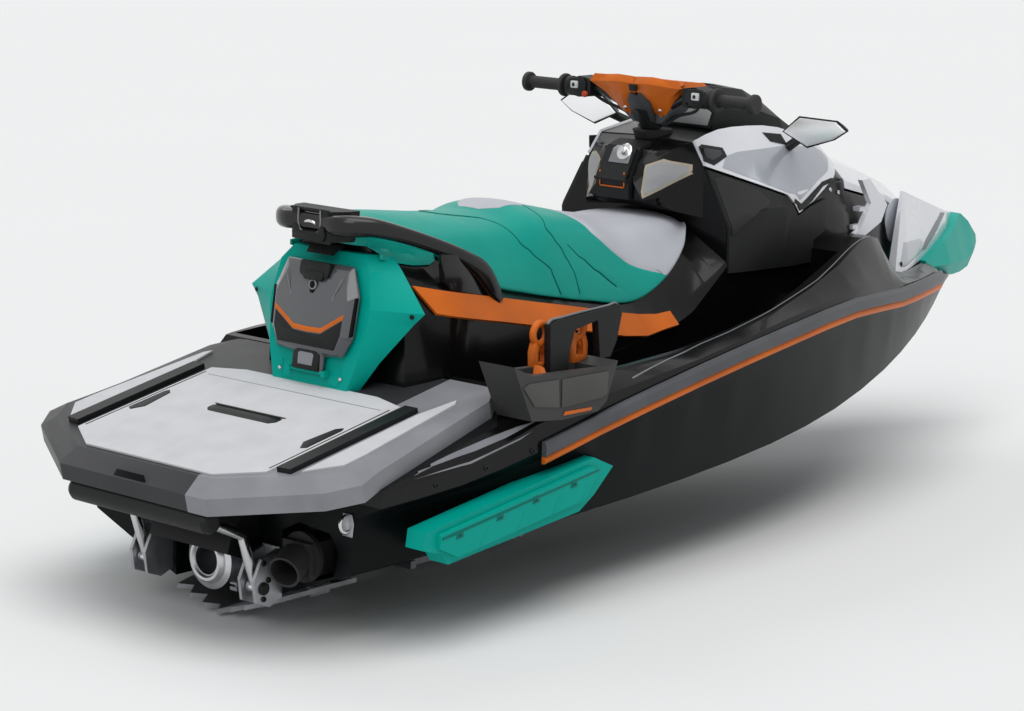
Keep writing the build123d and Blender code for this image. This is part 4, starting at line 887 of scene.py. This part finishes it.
for tag, side, _ in SIDES:
    patchwork("cover_" + tag, [(x, side * y, z) for x, y, z in COVER_POINTS], COVER_FACES, ORANGE,
              "handlebar", 1.6, 8)
aft_plate("cover_centre", [(-34, 0), (-40, 66), (-16, 96), (0, 84), (16, 96), (40, 66), (34, 0)],
          (84, 0, 768), 9, GREY_DARK, "handlebar", 3, (-0.5, 0, 0.86))
aft_plate("cover_slot", rect(-12, 0, 12, 18), (27, 0, 852), 10, DARK, "handlebar", 2, (-0.1, 0, 1))
bolts("cover_screws", [((66, y, 800), (-0.85, 0, -0.53)) for y in (60, -60)], 6, STEEL, "handlebar")
for tag, side, _ in SIDES:
    aft_plate("pod_face_" + tag, [(-30, -20), (-34, 6), (-24, 24), (22, 26), (34, 12), (32, -14), (20, -24)],
              (33, side * 206, 846), 7, DARK, "handlebar", 3)
    aft_plate("pod_button_" + tag, rect(-12, -10, 12, 10), (32, side * 210, 852), 12, WHITE_PLASTIC,
              "handlebar", 2.5)
    aft_plate("pod_button_mark_" + tag, [(-5, -5), (-6, 2), (0, 6), (5, 1), (3, -5)], (20.4, side * 210, 852),
              0.8, DARK, "handlebar", 0.2)
    for name, profile, x, y, material in (
            ("pod_collar_", [(0, 10), (0, 24), (4, 27), (16, 27), (20, 24), (20, 10)], 51, 232, DARK),
            ("grip_flange_", [(0, 10), (0, 30), (3, 32), (9, 32), (12, 30), (12, 10)], 50, 258, RUBBER),
            ("grip_end_", [(0, 10), (0, 25), (3, 27), (12, 27), (16, 22), (16, 4)], 44, 384, RUBBER)):
        turned(name + tag, profile, (x, side * y, 845), (0, side, 0), material, "handlebar")
    for name, points, radius, material in (
            ("lever_", ((58, 214, 826), (92, 236, 822), (112, 280, 824), (108, 330, 826), (96, 366, 828)),
             5.5, DARK),
            ("bar_cable_", ((70, 190, 832), (96, 160, 806), (104, 96, 786), (100, 40, 764)), 4.5, RUBBER)):
        tube(name + tag, [(x, side * y, z) for x, y, z in points], radius, material, "handlebar")
turned("stop_button", [(0, 9), (7, 9), (10, 7), (11, 2)], (33, 176, 828), (-1, 0, 0), RED_BUTTON, "handlebar")
turned("start_button", [(0, 8), (5, 8), (7, 6), (7, 2)], (33, -180, 828), (-1, 0, 0), DARK, "handlebar")

# ---- mirrors
MIRROR_RING = ((288, 746), (343, 793), (470, 791), (506, 766), (463, 738), (373, 708))
MIRROR_Y, MIRROR_Z = 398, 755
# the glass is the ring, drawn in towards its middle
glass = [(MIRROR_Y + (y - MIRROR_Y) * 0.9, MIRROR_Z + (z - MIRROR_Z) * 0.86) for y, z in MIRROR_RING]
for tag, side, _ in SIDES:
    aft_plate("mirror_face_" + tag, flip_u(glass, -side), (312.6, 0, 0), 1.2, MIRROR, edge=0.5)

# ---- cockpit, side panels and knee panels
cheeks, knees = surface("side_panels"), surface("knee_panels deck")
for tag, side, look in SIDES:
    for name, outline, material, thick, sink, step in (
            ("vent_rim_", [(82, 708), (106, 716), (172, 704), (169, 683), (111, 663), (84, 675)], DARK, 3.0,
             0.8, 8),
            ("vent_mesh_", [(98, 701), (112, 706), (158, 698), (156, 688), (114, 675), (98, 683)], GREY_DARK,
             4.0, 0.8, 8),
            ("panel_tip_", [(322, 566), (350, 549), (470, 598), (520, 604), (560, 600), (470, 586),
                            (352, 524), (304, 532)], DARK, 2.2, 0.8, 10),
            # darker silver facet of the side panel: painted shade
            ("panel_shaded_facet_", [(132, 655), (165, 682), (215, 691), (380, 698), (515, 688), (570, 655),
                              (520, 622), (455, 602), (345, 560), (326, 578), (300, 582),
                              (250, 604)], SILVER_SHADED, 1.0, 0.6, 14),
            ("mirror_foot_", [(335, 735), (396, 728), (400, 700), (345, 712)], DARK, 3.0, 0.8, 10)):
        draped(name + tag, outline, cheeks, look, material, thick, sink, step)
    draped("knee_pad_" + tag, [
        (92, 630), (124, 634), (210, 590), (224, 566), (211, 553), (182, 546), (92, 482), (90, 500)
    ], knees, look, KNEE_PAD, 5.0, 1.0, 12, 3)
    bolts("panel_screws_" + tag, [
        ((500, side * 326, 574), (0, side, 0.2)), ((560, side * 312, 560), (0, side, 0.2))
    ], 6, STEEL)

gunwale = surface("deck bow_deck")
# Grey strip along the gunwale's ridge: a painted highlight on the black deck.
GUNWALE_HIGHLIGHT = [(-648, 560), (-324, 518), (-60, 508), (88, 495), (237, 480), (350, 452), (491, 416),
                (600, 398)]
for tag, side, _ in SIDES:
    outline = flip_v([(x, y + 3.2) for x, y in GUNWALE_HIGHLIGHT] + GUNWALE_HIGHLIGHT[::-1], side)
    draped("gunwale_highlight_" + tag, outline, gunwale, "above", EDGE_GREY, 1.4, 0.6, 22)
dash = surface("deck console")
for tag, side, _ in SIDES:
    for name, outline, material, thick in (
            ("label_plate_", [(78, 660), (118, 678), (176, 664), (182, 640), (92, 572), (84, 590)],
             LABEL_EDGE, 1.2),
            ("label_face_", [(84, 656), (120, 672), (170, 660), (175, 641), (94, 580), (89, 592)], LABEL_GREY,
             1.9)):
        draped(name + tag, flip_u(outline, side), dash, "behind", material, thick, 0.6, 10)
for tag, ring in (("upper", rect(-44, 0, 44, 4)), ("left", rect(40, 0, 44, 44)),
                  ("right", rect(-44, 0, -40, 44))):
    aft_plate("dash_line_" + tag, ring, (-58, 0, 596), 2, ORANGE, edge=0.6)
turned("lanyard_switch", [(0, 24), (6, 24), (8, 20), (8, 13), (16, 12), (19, 8), (19, 2)], (-26, -18, 690),
       (-0.87, 0, 0.5), STEEL, "glovebox_lid")
aft_plate("lanyard_plate", both([(-34, -22), (-34, 20), (-22, 30)]), (-32, -8, 679),
          4, STEEL_DARK, "glovebox_lid", 2, (0.5, 0, 0.87))

# ---- display and nose
for name, ring, x, thick, material, edge in (
        ("frame", both([(-128, -26), (-136, 22), (-116, 34)]), 212, 4, DARK, 3),
        ("glass", both([(-118, -18), (-124, 18), (-110, 26)]), 208, 1.5, LABEL_GREY, 1)):
    aft_plate("display_" + name, ring, (x, 0, 772), thick, material, "hull", edge, (0.25, 0, 0.97))

nose = surface("nose_panel")
for tag, side, look in SIDES:
    # Darker silver patches on the nose panel and on its inner side: painted shade.
    draped("nose_shade_" + tag, [(924, 380), (1131, 362), (1189, 336), (1150, 320), (924, 310), (880, 314)],
           nose, look, SILVER_SHADED, 1.0)
    draped("nose_band_" + tag, [(1436, 399), (1380, 408), (1200, 350), (1140, 324), (1190, 322), (1300, 352)],
           nose, look, EDGE_GREY, 1.6, 0.6, 12)
    bolts("nose_screws_" + tag, [((890, side * 315, 322), (0.3, side, 0.1))], 7, DARK)
    ring = [(930 + 52 * cos(radians(w)), 440 + 66 * sin(radians(w))) for w in range(0, 360, 15)]
    side_plate("nose_inner_" + tag, flip_u(ring, -side), (0, side * 258, 0), side, 5, SILVER_SHADED, 1.5)

# ---- board rack hooks and plate edge
for tag, x in (("rear", -925), ("front", -785)):
    name = "rack_hook_" + tag
    legs = [(x - 30, 284), (x - 32, 330), (x - 24, 352), (x - 10, 342), (x - 12, 326), (x - 12, 300),
            (x + 12, 300), (x + 12, 326), (x + 6, 340), (x + 20, 352), (x + 30, 332), (x + 30, 284)]
    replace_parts(side_plate(name, legs, (0, -506, 0), -1, -20, ORANGE, 2.5), "rack_pads")
    loop = [(x + 24 * cos(radians(w)), -496, 370 + 25 * sin(radians(w))) for w in range(0, 361, 30)]
    tube(name + "_loop", loop, 9, ORANGE)
    tube(name + "_rib", [(x - 18, -496, 352), (x, -494, 338), (x + 18, -496, 318)], 6, ORANGE)
# Lighter grey line along the rack plate's top edge: a painted highlight.
edge_line = ((-924, 396), (-916, 403), (-880, 406), (-700, 415), (-668, 416), (-659, 400))
tube("rack_plate_highlight", [(x, -520, z) for x, z in edge_line], 3.2, EDGE_GREY)


# ---- seat seams and crest patch
def on_saddle(x, y, z):
    """Nearest point of the saddle's skin at a station, pulled in a little."""
    line = section_line(x, [k / 160 for k in range(161)])
    py, pz = min(line, key=lambda p: (p[0] - y) ** 2 + (p[1] - z) ** 2)
    low = saddle_at(x)[1]
    length = hypot(py, pz - low) or 1.0
    return (x, py - py / length * SEAM_SINK, pz - (pz - low) / length * SEAM_SINK)


def seam_path(seam, side):
    """Five points on every run of a seam, on one side."""
    points = [[p + (q - p) * k / 5 for p, q in zip(a, b)] for a, b in zip(seam, seam[1:]) for k in range(5)]
    return [on_saddle(x, side * y, z) for x, y, z in points]


for name, seam, radius in (("bolster", SEAM_BOLSTER, 2.0), ("rear", SEAM_REAR, 2.0),
                           ("side", SEAM_SIDE, 1.8)):
    right, left = seam_path(seam, -1), seam_path(seam, 1)
    if seam[0][1] == 0:
        tube("seat_seam_" + name, right[::-1] + left[1:], radius, TEAL_DARK)
    else:
        tube(f"seat_seam_{name}_right", right, radius, TEAL_DARK)
        tube(f"seat_seam_{name}_left", left, radius, TEAL_DARK)
draped("crest_patch", [
    (-636, 34), (-600, 72), (-520, 80), (-480, 52), (-474, 0), (-480, -52), (-520, -80), (-600, -72),
    (-636, -34)
], tree_of(rear_cushion), "above", WHITE_VINYL, 1.6, 1.0, 12, 0.8)

# ---- floor, light and camera
FLOOR_HALF, FLOOR_GAP = 40, 0.004
floor_z = cad_box[0][2] - FLOOR_GAP
floor_mesh = bpy.data.meshes.new("studio_floor")
corners = [(x * FLOOR_HALF, y * FLOOR_HALF, floor_z) for x, y in ((-1, -1), (1, -1), (1, 1), (-1, 1))]
floor_mesh.from_pydata(corners, [], [(0, 1, 2, 3)])
floor = placed("studio_floor", floor_mesh)
pale = Recipe("studio_floor", Roughness=1.0, Specular_IOR_Level=0.0)
pale.colour(pale.noise(0.6), (0.865, 0.865, 0.865), (0.875, 0.875, 0.875))
floor.data.materials.append(pale.material)

world = bpy.data.worlds.new("studio")
bpy.context.scene.world = world
world.use_nodes = True
tree = world.node_tree
tree.nodes.clear()
out = tree.nodes.new("ShaderNodeOutputWorld")
mix = tree.nodes.new("ShaderNodeMixShader")
path = tree.nodes.new("ShaderNodeLightPath")
# the object is lit by the first background; the camera, glossy rays and glass see the second
for slot, color, strength in ((1, (0.96, 0.98, 1.0, 1), 0.36), (2, (0.87, 0.87, 0.87, 1), 1.0)):
    background = tree.nodes.new("ShaderNodeBackground")
    background.inputs[0].default_value = color
    background.inputs[1].default_value = strength
    tree.links.new(background.outputs[0], mix.inputs[slot])


def larger(a, b):
    """The larger of two factors."""
    node = tree.nodes.new("ShaderNodeMath")
    node.operation = "MAXIMUM"
    tree.links.new(a, node.inputs[0])
    tree.links.new(b, node.inputs[1])
    return node.outputs[0]


sharp = larger(path.outputs["Is Glossy Ray"], path.outputs["Is Transmission Ray"])
tree.links.new(larger(path.outputs["Is Camera Ray"], sharp), mix.inputs[0])
tree.links.new(mix.outputs[0], out.inputs[0])

# far soft lights: direction, angle in degrees, strength
for name, way, angle, strength in (("overhead_light", (0.15, 0.25, -1.0), 50, 1.55),
                                   ("stern_light", (1.0, 0.35, -0.8), 30, 0.5),
                                   ("port_light", (-0.2, -1.0, -0.9), 30, 0.35)):
    data = bpy.data.lights.new(name, "SUN")
    data.angle = radians(angle)
    data.energy = strength
    placed(name, data).rotation_euler = Vector(way).to_track_quat("-Z", "Y").to_euler()

CAMERA_AT = (-5.97064, -4.80644, 1.60226)
HEADING, DOWN, ROLL = radians(41.0646), radians(10.9728), radians(1.2424)
camera_data = bpy.data.cameras.new("camera")
camera_data.sensor_width = 36
camera_data.lens = 99.69
camera_data.clip_end = 200
camera = placed("camera", camera_data)
ahead = Vector((cos(HEADING) * cos(DOWN), sin(HEADING) * cos(DOWN), -sin(DOWN)))
level = Vector((sin(HEADING), -cos(HEADING), 0))
above = level.cross(ahead)
right = level * cos(ROLL) + above * sin(ROLL)
up = above * cos(ROLL) - level * sin(ROLL)
camera.matrix_world = Matrix([(right[i], up[i], -ahead[i], CAMERA_AT[i]) for i in range(3)] + [(0, 0, 0, 1)])
bpy.context.scene.camera = camera
bpy.context.scene.view_settings.view_transform = "Standard"
